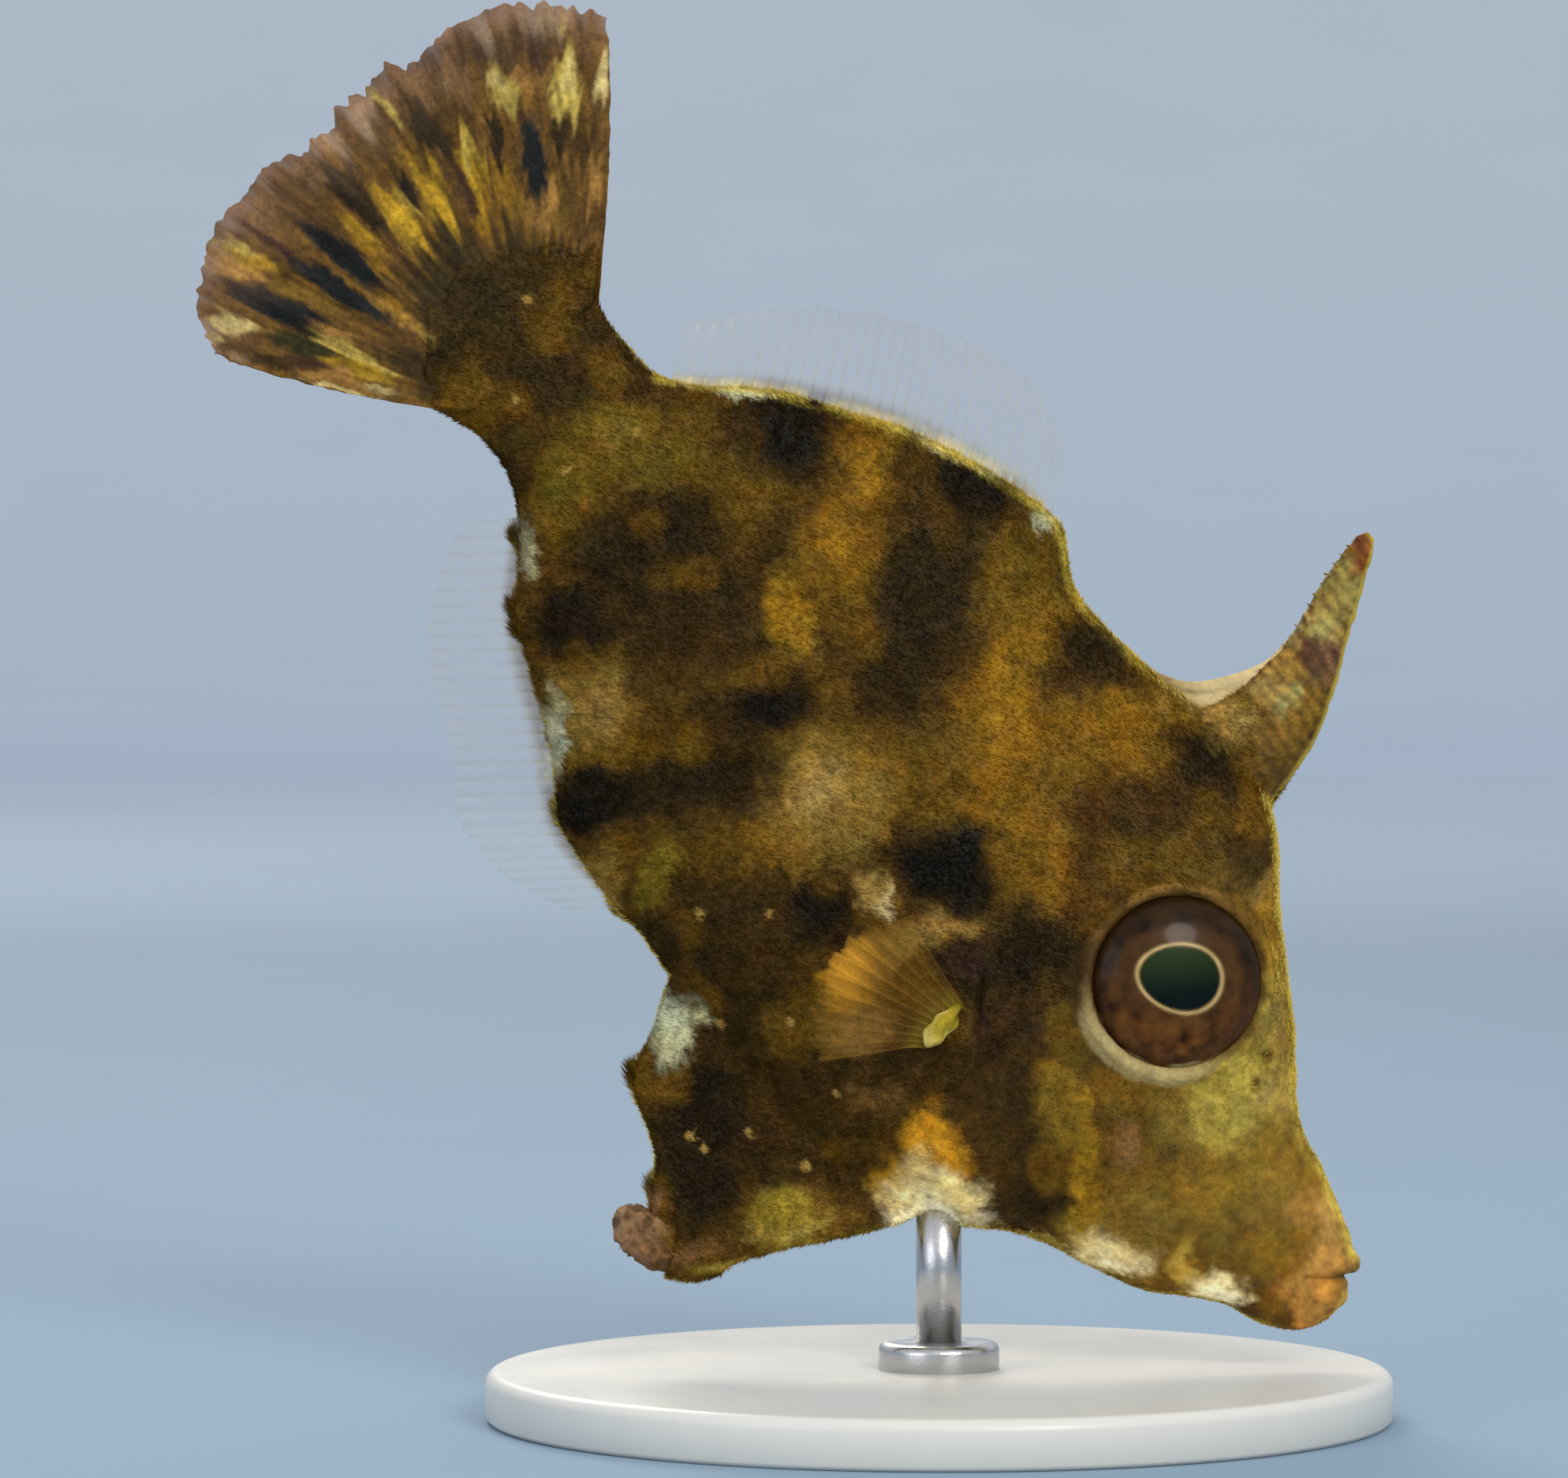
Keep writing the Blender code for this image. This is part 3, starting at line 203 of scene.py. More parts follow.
    ("sand", (20.6, 10, 2, 0.6, 0.9, 151), (20, 12.2, 0.9, 0.7, 0.55, 91)),
    ("khaki", (21.7, -10.2, 1.8, 1.1, 0.6, 121)),
    ("mauve", (18.2, -19.9, 1.4, 0.7, 0.6), (19.8, -20.3, 0.7, 1.1, 0.7)),
)
SPECKS = (
    (24.0, -12.7, 0.17), (19.0, -11.0, 0.14), (27.9, -10.4, 0.17), (26.1, -8.3, 0.14), (22.3, -10.5, 0.17),
    (50.6, 0.3, 0.15), (44.5, -3.0, 0.15), (43.8, 0.2, 0.14), (47.9, -2.6, 0.14), (21.4, -16.6, 0.17),
    (20.6, -16.5, 0.15), (20.0, -14.7, 0.15), (17.5, -13.9, 0.17), (28.9, -4.9, 0.15),
)
TAIL_BASE = (98, 70, 31)
TAIL_PIVOT = (46.1, -2.3)
TAIL_JOIN = (49.6, 51.2)
TAIL_MARKS = (
    ("brown", (60, 2.7, 5.86, 2.34, 0.35), (58, 8.3, 2.34, 1.17, 0.6), (59.2, 6.2, 1.56, 0.98, 0.5),
     (61.2, -3.5, 3.12, 1.17, 0.4)),
    ("khaki", (52.8, 2.7, 1.56, 1.37, 0.8), (55.1, -1, 1.37, 0.98, 0.7), (58.8, 0.2, 1.56, 0.98, 0.6),
     (55.9, -5.5, 1.76, 1.17, 0.5)),
    ("brown", (59, 0.3, 1.48, 0.82, 0.85), (54.1, 5.6, 1.09, 0.9, 0.95), (59, 6.2, 1.29, 1.21, 0.9),
     (59.4, 4.6, 1.09, 0.9, 0.6), (52.3, 3.8, 0.98, 0.59, 0.4), (58.6, 2.5, 1.17, 0.78, 0.5),
     (59.3, -2.8, 0.98, 0.59, 0.5)),
    ("mauve", (60.6, -2.7, 1.17, 0.59, 0.6), (60.6, 2.5, 1.56, 0.9, 0.8), (60.8, -5.6, 1.17, 0.66, 0.7),
     (58.9, 3.9, 0.78, 0.59, 0.5), (57.7, 8.5, 0.98, 0.9, 0.6), (60.8, 0, 0.98, 0.59, 0.6)),
    ("ochre", (56.5, -3.1, 1.41, 0.47, 1), (54.8, -3.9, 1.76, 0.25, 0.95), (54.5, 1.3, 1.17, 0.55, 0.9),
     (54.3, 2.4, 1.17, 0.47, 0.7), (56, 4.9, 0.98, 0.27, 0.5), (57.7, 0.5, 0.78, 0.31, 0.5),
     (57.2, -5.7, 1.37, 0.23, 0.7)),
    ("clay", (53.5, -4, 1.95, 0.39, 0.95), (52.3, 5.3, 1.17, 0.35, 0.8), (52.9, 3.1, 1.17, 0.66, 0.7),
     (51.9, -3.5, 1.56, 0.39, 0.95), (53.5, -7.6, 2.15, 0.35, 0.95), (58.5, -7.2, 1.29, 0.66, 0.9),
     (57.1, 6, 0.47, 1.17, 0.5), (52, -2.1, 0.78, 0.39, 0.6), (54.2, -6.2, 1.37, 0.2, 0.7),
     (59.6, -8.5, 0.59, 0.78, 0.5)),
    ("sun", (55.9, 0.2, 1.56, 0.59, 1), (56.2, -1.4, 1.56, 0.62, 1), (56.3, 2.2, 1.21, 0.59, 1),
     (58.6, -6.8, 1.05, 0.43, 0.9), (53.2, -6.6, 1.56, 0.35, 0.8), (55, 1.5, 0.86, 0.35, 0.9),
     (56.7, -3, 0.98, 0.27, 0.6), (53.6, -3.9, 1.17, 0.16, 0.5)),
    ("straw", (57.3, 5, 1.02, 0.59, 0.9), (55.8, 6.7, 1.48, 0.59, 1), (60.2, 1.1, 0.78, 0.35, 0.75),
     (56.6, 2.4, 0.78, 0.31, 0.7), (53.5, -6.3, 1.56, 0.27, 0.8), (51.6, -3.6, 1.37, 0.18, 0.7),
     (59.6, -6.9, 0.86, 0.27, 0.7), (56.3, -0.8, 0.78, 0.2, 0.4), (57.7, 8.3, 0.47, 0.39, 0.5),
     (60.5, -1.5, 0.51, 0.23, 0.5), (61.6, -2.1, 0.39, 0.23, 0.5)),
    ("bone", (55, 8, 1.09, 0.35, 0.9), (55.9, 6.9, 0.78, 0.29, 0.55), (57.9, -9.3, 0.98, 0.43, 0.8),
     (57.7, 4.9, 0.39, 0.39, 0.5), (53.1, -7.9, 1.37, 0.16, 0.7), (51.9, -6.4, 0.78, 0.2, 0.5),
     (57.7, -10.1, 0.78, 0.2, 0.6)),
    ("maroon", (58.1, 7.1, 1.29, 0.25, 1), (56.1, 1.5, 1.37, 0.25, 0.85), (59.5, -5.9, 1.86, 0.2, 0.95),
     (60.7, -6.2, 0.98, 0.31, 0.6), (56.6, -2.3, 1.56, 0.18, 0.7), (54.5, -8, 1.17, 0.29, 0.85),
     (56.1, 4.8, 0.98, 0.16, 0.6), (54.2, -2.3, 1.17, 0.16, 0.5), (54.7, -5.2, 1.17, 0.12, 0.5)),
    ("umber", (58, 1.8, 1.09, 0.66, 1), (58.5, -2.1, 1.56, 0.55, 1), (57.2, -2.3, 1.05, 0.27, 0.95),
     (56, 3.4, 1.29, 0.31, 1), (57.1, -0.4, 0.86, 0.27, 1), (55.3, -9, 1.17, 0.29, 0.85),
     (54.2, 5.1, 0.98, 0.29, 0.75), (59.6, 5.5, 0.98, 0.47, 0.5)),
    ("slate", (54.6, 4.1, 1.91, 0.55, 1), (57.4, -4.2, 2.42, 0.51, 1), (55.9, -5.1, 2.93, 0.41, 1),
     (56.1, -7, 2.23, 0.61, 1)),
    ("pine", (55.4, -7.8, 1.64, 0.39, 1)),
    ("root", (51.6, 0.1, 2.15, 2.15, 1), (52.8, -2.2, 1.95, 1.56, 1), (49.7, 0.5, 2.93, 2.15, 1),
     (50.6, -4.4, 1.17, 1.17, 1), (53.8, -0.6, 1.37, 0.86, 0.95), (50.2, 2.3, 1.17, 0.78, 0.7),
     (50.6, -2.3, 2.34, 2.34, 1), (51.7, -4.7, 0.59, 0.59, 0.7)),
    ("umber", (53.5, -0.9, 0.86, 0.47, 0.5), (51.3, -0.7, 0.78, 0.66, 0.4), (50.9, -3.9, 0.98, 0.59, 0.5)),
)


def soft_step(low, high, x):
    """0 below low, 1 above high and smooth between."""
    t = np.clip((x - low) / (high - low), 0, 1)
    return t * t * (3 - 2 * t)


def noise(points, cell, seed):
    """Smooth seeded noise from -1 to 1 in space, with cells of the given size, turned its own way for each seed."""
    c, d, e, f = math.cos(1.3 * seed), math.sin(1.3 * seed), math.cos(0.7 + seed), math.sin(0.7 + seed)
    places = np.asarray(points, float) @ np.array([[c, 0, d], [d * f, e, -c * f], [-d * e, f, c * e]]).T / cell
    corner = np.floor(places).astype(np.int64)
    t = places - corner
    t = t * t * (3 - 2 * t)
    total = np.zeros(len(places))
    for step in product((0, 1), repeat=3):
        key = (corner + step) @ np.array([73856093, 19349663, 83492791]) + seed * 9781
        key = (key ^ (key >> 13)) * 1274126177 & 0x7FFFFFFF
        key = (key ^ (key >> 15)) * 2246822519 & 0x7FFFFFFF
        total += np.prod(np.where(step, t, 1 - t), axis=1) * (key / 0x3FFFFFFF - 1)
    return total


def streaks(across, ahead, cell, seed):
    """Noise over a fin, by places across and along its rays."""
    places = np.stack([across, ahead + 0 * across, 0 * across], -1)
    return noise(places.reshape(-1, 3), cell, seed).reshape(across.shape)


def along(points, share):
    """Points at shares of the length of a smooth line through the given points."""
    line = np.array(points, float)
    reach = np.append(0, np.cumsum(np.linalg.norm(np.diff(line, axis=0), axis=1)))
    where = np.asarray(share, float) * reach[-1]
    return np.stack([curve(np.stack([reach, column], 1), where) for column in line.T], -1)


def linear(tone):
    """Linear colour of a tone given as 0 to 255."""
    return (np.array(tone, float) / 255) ** 2.2


def brush(colours, tone, cover):
    """Lays a tone over colours, by its share at each point."""
    colours += (tone - colours) * np.reshape(cover, (-1, 1))


def painted(points, base, marks, lie, warp=0.42, edge=(0.48, 1.32)):
    """Linear colours of a marked surface at points of the level fish. lie(s, h) tilts a blotch that has no tilt,
    warp is how far the blotches wander, and edge is where they start and end their fade."""
    side_view = np.stack([-points[:, 0], points[:, 2]], 1)
    away = np.minimum(np.abs(points[:, 1:2]) / 1.5, 1) * (points[:, 1:2] > 0)
    shift = np.stack([noise(points, 1.1, k) + 0.6 * noise(points, 0.45, k + 1) + 0.5 * noise(points, 0.18, k + 2)
                      for k in (1, 4)], 1)
    other = np.stack([noise(points, 5.0, 7), noise(points, 5.0, 8)], 1)
    places = side_view + shift * warp + other * away
    colours = np.tile(linear(base), (len(points), 1))
    colours *= 1 + (0.3 * noise(points, 1.4, 9) + 0.2 * noise(points, 0.5, 10))[:, None]
    for tone, *ovals in marks:
        for s, h, length, width, strength, *tilt in ovals:
            turn = math.radians(tilt[0] if tilt else lie(s, h))
            ds, dh = (places - (s, h)).T
            u = (ds * math.cos(turn) + dh * math.sin(turn)) / length
            v = (dh * math.cos(turn) - ds * math.sin(turn)) / width
            brush(colours, linear(TONES[tone]), soft_step(edge[1], edge[0], np.hypot(u, v)) * strength)
    return colours


def ray_tilt(s, h):
    """Tilt of the tail's rays at a place, in degrees."""
    return math.degrees(math.atan2(h - TAIL_PIVOT[1], s - TAIL_PIVOT[0]))


def tail_markings(points):
    """Linear colours of the tail's streaks, which end unevenly from ray to ray, and of its dark, scaly root."""
    s, h = -points[:, 0] - TAIL_PIVOT[0], points[:, 2] - TAIL_PIVOT[1]
    turn = np.arctan2(h, s)
    slip = 0.45 * streaks(turn * 16, 0, 1.0, 31) + 1.0 * streaks(turn * 16, 0, 0.38, 32)
    slip *= soft_step(4.0, 7.0, np.hypot(s, h))
    slipped = points + np.stack([-np.cos(turn), 0 * turn, np.sin(turn)], 1) * slip[:, None]
    return painted(slipped, TAIL_BASE, TAIL_MARKS, ray_tilt, warp=0.2, edge=(0.62, 1.22))


def markings(points):
    """Linear colours of the skin at points of the level fish, with its mottling, painted rim light and specks."""
    colours = painted(points, SKIN_BASE, SKIN_MARKS, lambda s, h: SKIN_TILT)
    s, h = -points[:, 0], points[:, 2]
    warm = soft_step(0.1, 0.55, noise(points, 1.9, 25)) * 0.4 * (colours[:, 0] < 0.12)
    brush(colours, linear(TONES["ochre"]), warm)
    on_tail = s > TAIL_JOIN[0]
    join = soft_step(*TAIL_JOIN, s[on_tail])[:, None]
    colours[on_tail] += (tail_markings(points[on_tail]) - colours[on_tail]) * join
    # Painted rim light: a pale yellow line just inside the outline of the back, the belly and the jaw, as if lit from
    # behind.
    back = curve(BACK_LINE, s) - h
    on_back = soft_step(-0.6, -0.2, back)
    painted_rim_light = soft_step(0.7, 0.1, np.where(s < 46, back, 9)) * on_back * soft_step(17, 15, s)
    painted_rim_light += soft_step(0.6, 0.05, np.where(s < 45, back, 9)) * on_back * soft_step(22.5, 24, s)
    belly = h - curve(BELLY_LINE, s)
    painted_rim_light += 0.7 * soft_step(0.4, 0.0, belly) * soft_step(-0.5, -0.2, belly) * soft_step(13, 12, s)
    jaw = along(FLAP_EDGE, np.linspace(0, 0.42, 50))
    painted_rim_light += 0.45 * soft_step(0.28, 0.05, np.linalg.norm(np.stack([s, h], 1)[:, None] - jaw[None], axis=2).min(1))
    painted_rim_light *= np.where(s < 17, soft_step(1.7, 0.9, np.abs(points[:, 1])), 1)
    brush(colours, linear((208, 184, 74)), painted_rim_light * 0.85 * soft_step(-0.7, 0.2, noise(points, 0.8, 22)))
    fine = 0.24 * noise(points, 0.7, 23) + 0.3 * noise(points, 0.3, 20) + 0.26 * noise(points, 0.15, 21)
    colours *= (1 + fine)[:, None] * (1 + np.array([0.08, 0.0, -0.2]) * noise(points, 0.9, 24)[:, None])
    tint = noise(points, 0.45, 26) * soft_step(0.45, 0.2, colours[:, 0])
    colours *= 1 + np.array([-0.08, 0.04, 0.0]) * tint[:, None]
    for s0, h0, radius in SPECKS:
        brush(colours, linear(TONES["sand"]) * 1.3, soft_step(1.4, 0.6, np.hypot(s - s0, h - h0) / radius) * 0.9)
    return np.clip(colours, 0.002, 1)


# Trunk: head, body and tail stalk are one mass of flesh over bone, narrow and deep, with a keel along the back and
# the belly. Its cross sections run smoothly from the chin to the end of the stalk.
STALK_END = 50.2
WIDEST_LINE = ((-0.75, -2.2), (1.2, -1.9), (6.0, -2.4), (13.0, -1.4), (20.0, -3.0), (36.0, -2.0), (50.2, -1.2))
HALF_WIDTH = (
    (-0.75, 0.35), (-0.4, 0.85), (0.3, 1.15), (1.3, 1.35), (3.7, 1.85), (6.0, 2.25), (9.1, 2.95), (13.0, 3.6),
    (18.0, 4.1), (24.0, 4.0), (30.0, 3.4), (36.0, 2.6), (42.0, 1.75), (46.0, 1.3), (48.6, 0.95), (50.2, 0.62),
)
BACK_PINCH = ((1.0, 1.0), (7.0, 0.8), (12.0, 0.5), (15.5, 0.6), (21.0, 1.1), (28.0, 1.4))
BELLY_PINCH = ((1.0, 1.0), (8.0, 1.1), (16.0, 1.4))
KEEL = 0.5


def full_turn(count):
    """Angles evenly round a circle, as a row."""
    return (np.arange(count) * math.tau / count)[None, :]


def tube(rings):
    """Points and faces of a closed form through rings of equal count."""
    count, around = rings.shape[:2]
    i, j = np.meshgrid(np.arange(count - 1), np.arange(around), indexing="ij")
    k = (j + 1) % around
    quads = np.stack([i * around + j, i * around + k, (i + 1) * around + k, (i + 1) * around + j], -1)
    j = np.arange(around)
    k = (j + 1) % around
    last = (count - 1) * around
    first_cap = np.stack([np.full(around, count * around), k, j], 1)
    last_cap = np.stack([np.full(around, count * around + 1), last + j, last + k], 1)
    points = np.concatenate([rings.reshape(-1, 3), rings[:1].mean(1), rings[-1:].mean(1)])
    return points, quads.reshape(-1, 4), np.concatenate([first_cap, last_cap])


def section(s):
    """Height of the widest line, reaches up and down from it, half width and keel of the body at s."""
    middle = curve(WIDEST_LINE, s)
    width = curve(HALF_WIDTH, s)
    return middle, curve(BACK_LINE, s) - middle, middle - curve(BELLY_LINE, s), width, np.minimum(KEEL, width)


def half_section(s, up, side):
    """Half width of the body where its section's angle has the given sine and cosine."""
    _, _, _, width, keel = section(s)
    pinch = np.where(up > 0, curve(BACK_PINCH, s), curve(BELLY_PINCH, s))
    return (width - keel) * side**pinch + keel * side**0.6


def flank(s, h):
    """Distance of the skin from the plane of symmetry at points of the side view."""
    middle, above, below, _, _ = section(s)
    up = np.clip((h - middle) / np.where(h > middle, above, below), -1, 1)
    return half_section(s, up, np.sqrt(1 - up * up))


def body_form(rings=330, around=112):
    """The body from the chin to the end of the tail stalk."""
    start = BACK_LINE[0][0]
    s = (start + (STALK_END - start) * np.linspace(0, 1, rings) ** 1.3)[:, None]
    up, side = np.sin(full_turn(around)), np.cos(full_turn(around))
    middle, above, below, _, _ = section(s)
    half = half_section(s, up + 0 * s, np.abs(side) + 0 * s)
    return tube(fish_point(s, np.sign(side) * half, middle + np.where(up > 0, above, below) * up))


# Pelvic flap: a fold of skin between the pelvis and the belly, thick along the bone in front and thin behind, with a
# rounded edge. It grows out of the underside of the trunk.
FLAP_ROOT = ((13.0, -11.0), (27.0, -12.4))
FLAP_THICKNESS = 1.0
PELVIS_THICKNESS = 1.7
FLAP_ROOT_THICKNESS = 2.2


def unit(vectors):
    """Vectors of length one, the same way."""
    return vectors / np.maximum(np.linalg.norm(vectors, axis=-1, keepdims=True), 1e-9)


def grid(columns, rows, start=0, end=1):
    """Shares across and along a sheet at the points of its grid."""
    return np.meshgrid(np.linspace(start, end, columns), np.linspace(0, 1, rows), indexing="ij")


def sheet(middle, half):
    """Points and faces of a closed thin form over a grid of middle points, with its half thickness at each."""
    facing = unit(np.cross(np.gradient(middle, axis=0), np.gradient(middle, axis=1)))
    offset = facing * half[..., None]
    columns, rows = half.shape
    index = np.arange(columns * rows).reshape(columns, rows)
    front = np.stack([index[:-1, :-1], index[1:, :-1], index[1:, 1:], index[:-1, 1:]], -1).reshape(-1, 4)
    back = front[:, ::-1] + columns * rows
    loop = np.concatenate([index[:, 0], index[-1, 1:], index[-2::-1, -1], index[0, -2:0:-1]])
    after = np.roll(loop, -1)
    rim = np.stack([after, loop, loop + columns * rows, after + columns * rows], -1)
    points = np.concatenate([(middle + offset).reshape(-1, 3), (middle - offset).reshape(-1, 3)])
    return points, np.concatenate([front, back, rim])


def flap_form(columns=90, rows=34):
    """The pelvic flap: thick along the pelvis in front, thin behind, with a rounded edge."""
    u, v = grid(columns, rows)
    (s0, h0), (s1, h1) = FLAP_ROOT
    edge = along(FLAP_EDGE, u[:, 0])
    s = (s0 + (s1 - s0) * u) * (1 - v) + edge[:, :1] * v
    h = (h0 + (h1 - h0) * u) * (1 - v) + edge[:, 1:] * v
    leading = np.maximum(0, 1 - u / 0.2)
    fade = np.maximum(0, 1 - v / 0.6) ** 2
    thick = FLAP_THICKNESS + (PELVIS_THICKNESS - FLAP_THICKNESS) * leading
    thick = thick + (FLAP_ROOT_THICKNESS - thick) * fade
    rim = np.minimum(1, np.sqrt(np.maximum(0, 1 - v)) * 2.2 + 0.25)
    return sheet(fish_point(s, 0, h), thick / 2 * rim)


# Foot of the tail fin: scaly skin runs on from the stalk over the roots of the fin's rays and ends in a ragged
# edge. The fan itself is sunk in the stalk, and its outer rays curve a little.
CAUDAL_RAYS = 12
CAUDAL_ROOT = ((49.5, 2.6), (49.9, -1.2), (49.5, -4.9))
CAUDAL_EDGE = ((57.3, 10.35), (60.1, 7.6), (61.3, 3.0), (61.6, -2.3), (60.9, -7.3), (57.9, -11.1))
CAUDAL_SUNK = 0.8
CAUDAL_BULGE = 0.35
SHEATH_SPAN = (0.012, 0.988)
SHEATH_SHARE = ((0.0, 0.18), (0.2, 0.22), (0.45, 0.32), (0.65, 0.3), (0.85, 0.2), (1.0, 0.16))


def tail_root(u):
    """Points of the tail's root, sunk in the stalk."""
    s, h = along(CAUDAL_ROOT, u).T
    return fish_point(s - CAUDAL_SUNK, 0, h * 0.9)


def tail_edge(u):
    """Points of the tail's free edge."""
    s, h = along(CAUDAL_EDGE, u).T
    return fish_point(s, 0, h)


def tail_bend(u, v):
    """Curve and fray of the outer rays, a slow wave of the whole fan and slight pleats between the rays."""
    pleat = 0.08 * np.cos(math.tau * u * (CAUDAL_RAYS - 1)) * v * (1 - 0.3 * v)
    fray = 0.3 * np.abs(streaks(v * 14 + 0 * u, 0, 1.0, 33)) * v * (soft_step(0.94, 1, u) - soft_step(0.06, 0, u))
    wave = 0.25 * v * v * np.sin(math.tau * 0.8 * u)
    return fish_point(0, pleat + wave, CAUDAL_BULGE * (1 - 2 * u) * np.sin(math.pi * v) + fray)


def sheath_form(columns=120, rows=40):
    """Scaly skin that runs on from the stalk over the roots of the tail's rays, with a ragged edge."""
    u, v = grid(columns, rows, *SHEATH_SPAN)
    a, b = tail_root(u[:, 0])[:, None], tail_edge(u[:, 0])[:, None]
    reach = v * (curve(SHEATH_SHARE, u) + 0.03 * streaks(u * 30, 0, 1.0, 12))
    half = 0.13 + 0.66 * (1 - v * v) ** 1.5
    return sheet(a + (b - a) * reach[..., None] + tail_bend(u, reach), half)


# Lips: two fleshy rolls round a small mouth that slopes across the end of the snout. They thin out towards the
# corners of the mouth, where they merge with the cheeks.
MOUTH_NOTCH = (0.5, -1.0)
MOUTH_SLOPE = math.radians(49)
UPPER_LIP = {"ahead": 0.6, "above": 0.5, "radius": 0.55}
LOWER_LIP = {"ahead": 0.0, "above": -0.72, "radius": 0.66}
LIP_LENGTH = 1.9
LIP_SPREAD = 1.12
LIP_TUCK = 0.2


def lip_form(lip, steps=72, around=28):
    """Fleshy roll round the front of the mouth, thinner towards its corners."""
    turn = np.linspace(-math.pi / 2, math.pi / 2, steps)[:, None]
    angle = full_turn(around)
    radius = lip["radius"] * (0.5 + 0.5 * np.cos(turn))
    spread = LIP_SPREAD * (1 - LIP_TUCK * np.sin(turn) ** 6)
    ahead = lip["ahead"] - LIP_LENGTH * (1 - np.cos(turn)) + radius * np.cos(angle) * np.cos(turn)
    y = (spread + radius * np.cos(angle)) * np.sin(turn)
    above = lip["above"] + radius * np.sin(angle)
    back, up = math.cos(MOUTH_SLOPE), math.sin(MOUTH_SLOPE)
    return tube(fish_point(MOUTH_NOTCH[0] - ahead * back + above * up, y, MOUTH_NOTCH[1] + ahead * up + above * back))


# Eye sockets: the skin forms a low collar round each eye, rooted in the side of the head and lowest towards the
# forehead. The eye itself is set into it later.
EYE_CENTRE = (13.58, 2.05)
EYE_RADIUS = 3.45
EYE_SIDE = -2.5
RIM_RADIUS = 3.72
RIM_WIDTH = 0.4
RIM_RISE = 0.14
RIM_ROOT = 1.1
RIM_SINK = 0.4
RIM_SUNK_WAY = (0.657, 0.754)


def hoop(rings):
    """Points and faces of a closed ring through sections of equal count."""
    count, around = rings.shape[:2]
    index = np.arange(count * around).reshape(count, around)
    ahead, aside = np.roll(index, -1, 0), np.roll(index, -1, 1)
    return rings.reshape(-1, 3), np.stack([index, aside, np.roll(ahead, -1, 1), ahead], -1).reshape(-1, 4)


def flank_frame(s, h, reach):
    """Origin on the left flank and its directions ahead, out and up, fitted over a reach around."""
    slope_back = (flank(s + reach, h) - flank(s - reach, h)) / (2 * reach)
    slope_up = (flank(s, h + reach) - flank(s, h - reach)) / (2 * reach)
    out = unit(np.array([slope_back, 1, -slope_up]))
    ahead = unit(np.array([1, 0, 0]) - out * out[0])
    return fish_point(s, flank(s, h), h), np.array([ahead, out, np.cross(ahead, out)])


def rim_form(side, around=110, ring=18):
    """Low collar of skin round an eye, rooted in the head."""
    origin, axes = flank_frame(*EYE_CENTRE, EYE_RADIUS)
    turn, angle = full_turn(around).T, full_turn(ring)
    reach = RIM_RADIUS + RIM_WIDTH * np.cos(angle)
    height = (RIM_RISE + RIM_ROOT) / 2 * np.sin(angle) + (RIM_RISE - RIM_ROOT) / 2 + 0 * turn
    forward = np.maximum(RIM_SUNK_WAY[0] * np.cos(turn) + RIM_SUNK_WAY[1] * np.sin(turn), 0)
    local = np.stack([reach * np.cos(turn), height - RIM_SINK * forward**2, reach * np.sin(turn)], -1)
    return hoop((origin + local @ axes) * (1, side, 1))


# Feet of the dorsal spine and of the pelvic knob: the skin climbs the foot of the spine like a collar, and runs over
# the first half of the finger of fused scales at the tip of the pelvis.
SPINE_COLLAR = (
    (7.0, 18.95, 2.5, 1.4), (8.0, 18.9, 2.95, 1.8), (8.8, 18.75, 2.78, 1.55), (9.6, 18.62, 2.48, 1.35),
    (10.4, 18.55, 2.22, 1.24), (11.2, 18.6, 2.02, 1.12), (12.0, 18.7, 1.75, 0.92),
)
KNOB_LINE = ((16.4, -17.9), (17.3, -19.2), (18.4, -20.15), (19.6, -20.55), (20.7, -20.6), (21.15, -20.6))
KNOB_RADII = (0.5, 0.75, 1.0, 1.05, 1.0, 0.9)
KNOB_CAP = 0.2
KNOB_ROOT_END = 0.52


def collar_form(around=48):
    """Skin that climbs the foot of the first dorsal spine."""
    level, middle, long, wide = np.array(SPINE_COLLAR).T[..., None]
    turn = full_turn(around)
    return tube(fish_point(middle + long * np.cos(turn), wide * np.sin(turn), level + 0 * turn))


def knob_form(start, end, swell):
    """The finger of scales at the tip of the pelvis between two shares of its length, made thicker by a swell."""
    share = np.linspace(start, end, 40)
    centre = along(KNOB_LINE, share)
    radius = np.interp(share, np.linspace(0, 1, len(KNOB_RADII)), KNOB_RADII) + swell
    radius *= np.sqrt(np.clip((share - start) / 0.3, 0.02, 1))
    radius = (radius * np.sqrt(np.clip(1 - (np.maximum(share - 1 + KNOB_CAP, 0) / KNOB_CAP) ** 2, 0.01, 1)))[:, None]
    run = unit(np.gradient(centre, axis=0))
    turn = full_turn(36)
    return tube(fish_point(centre[:, :1] + run[:, 1:] * radius * np.cos(turn), 0.85 * radius * np.sin(turn),
                           centre[:, 1:] - run[:, :1] * radius * np.cos(turn)))


# Skin: one tough, seamless hide over all of these forms, which are melted into one surface and set in by the depth
# of the coat. Then the lips, nostrils, gill slits, folds and tufts are raised or sunk in it.
COAT_DEPTH = 0.1
SKIN_VOXEL = 0.125
SKIN_FACES = 190000
NOSTRILS = ((8.3, 1.7), (8.8, 2.8))
GILL_SLIT = (18.0, -4.5)
GILL_LENGTH = 3.6
GILL_SLOPE = math.radians(49)
GILL_DEPTH = 1.5
TUFT_BUMPS = ((41.8, -8.4, 0.55), (41.1, -8.9, 0.5), (34.7, -12.6, 0.6), (30.0, -13.3, 0.55), (43.8, -6.4, 0.4))
TUFT_RISE = 0.16
FOLD_PITCH = 0.74


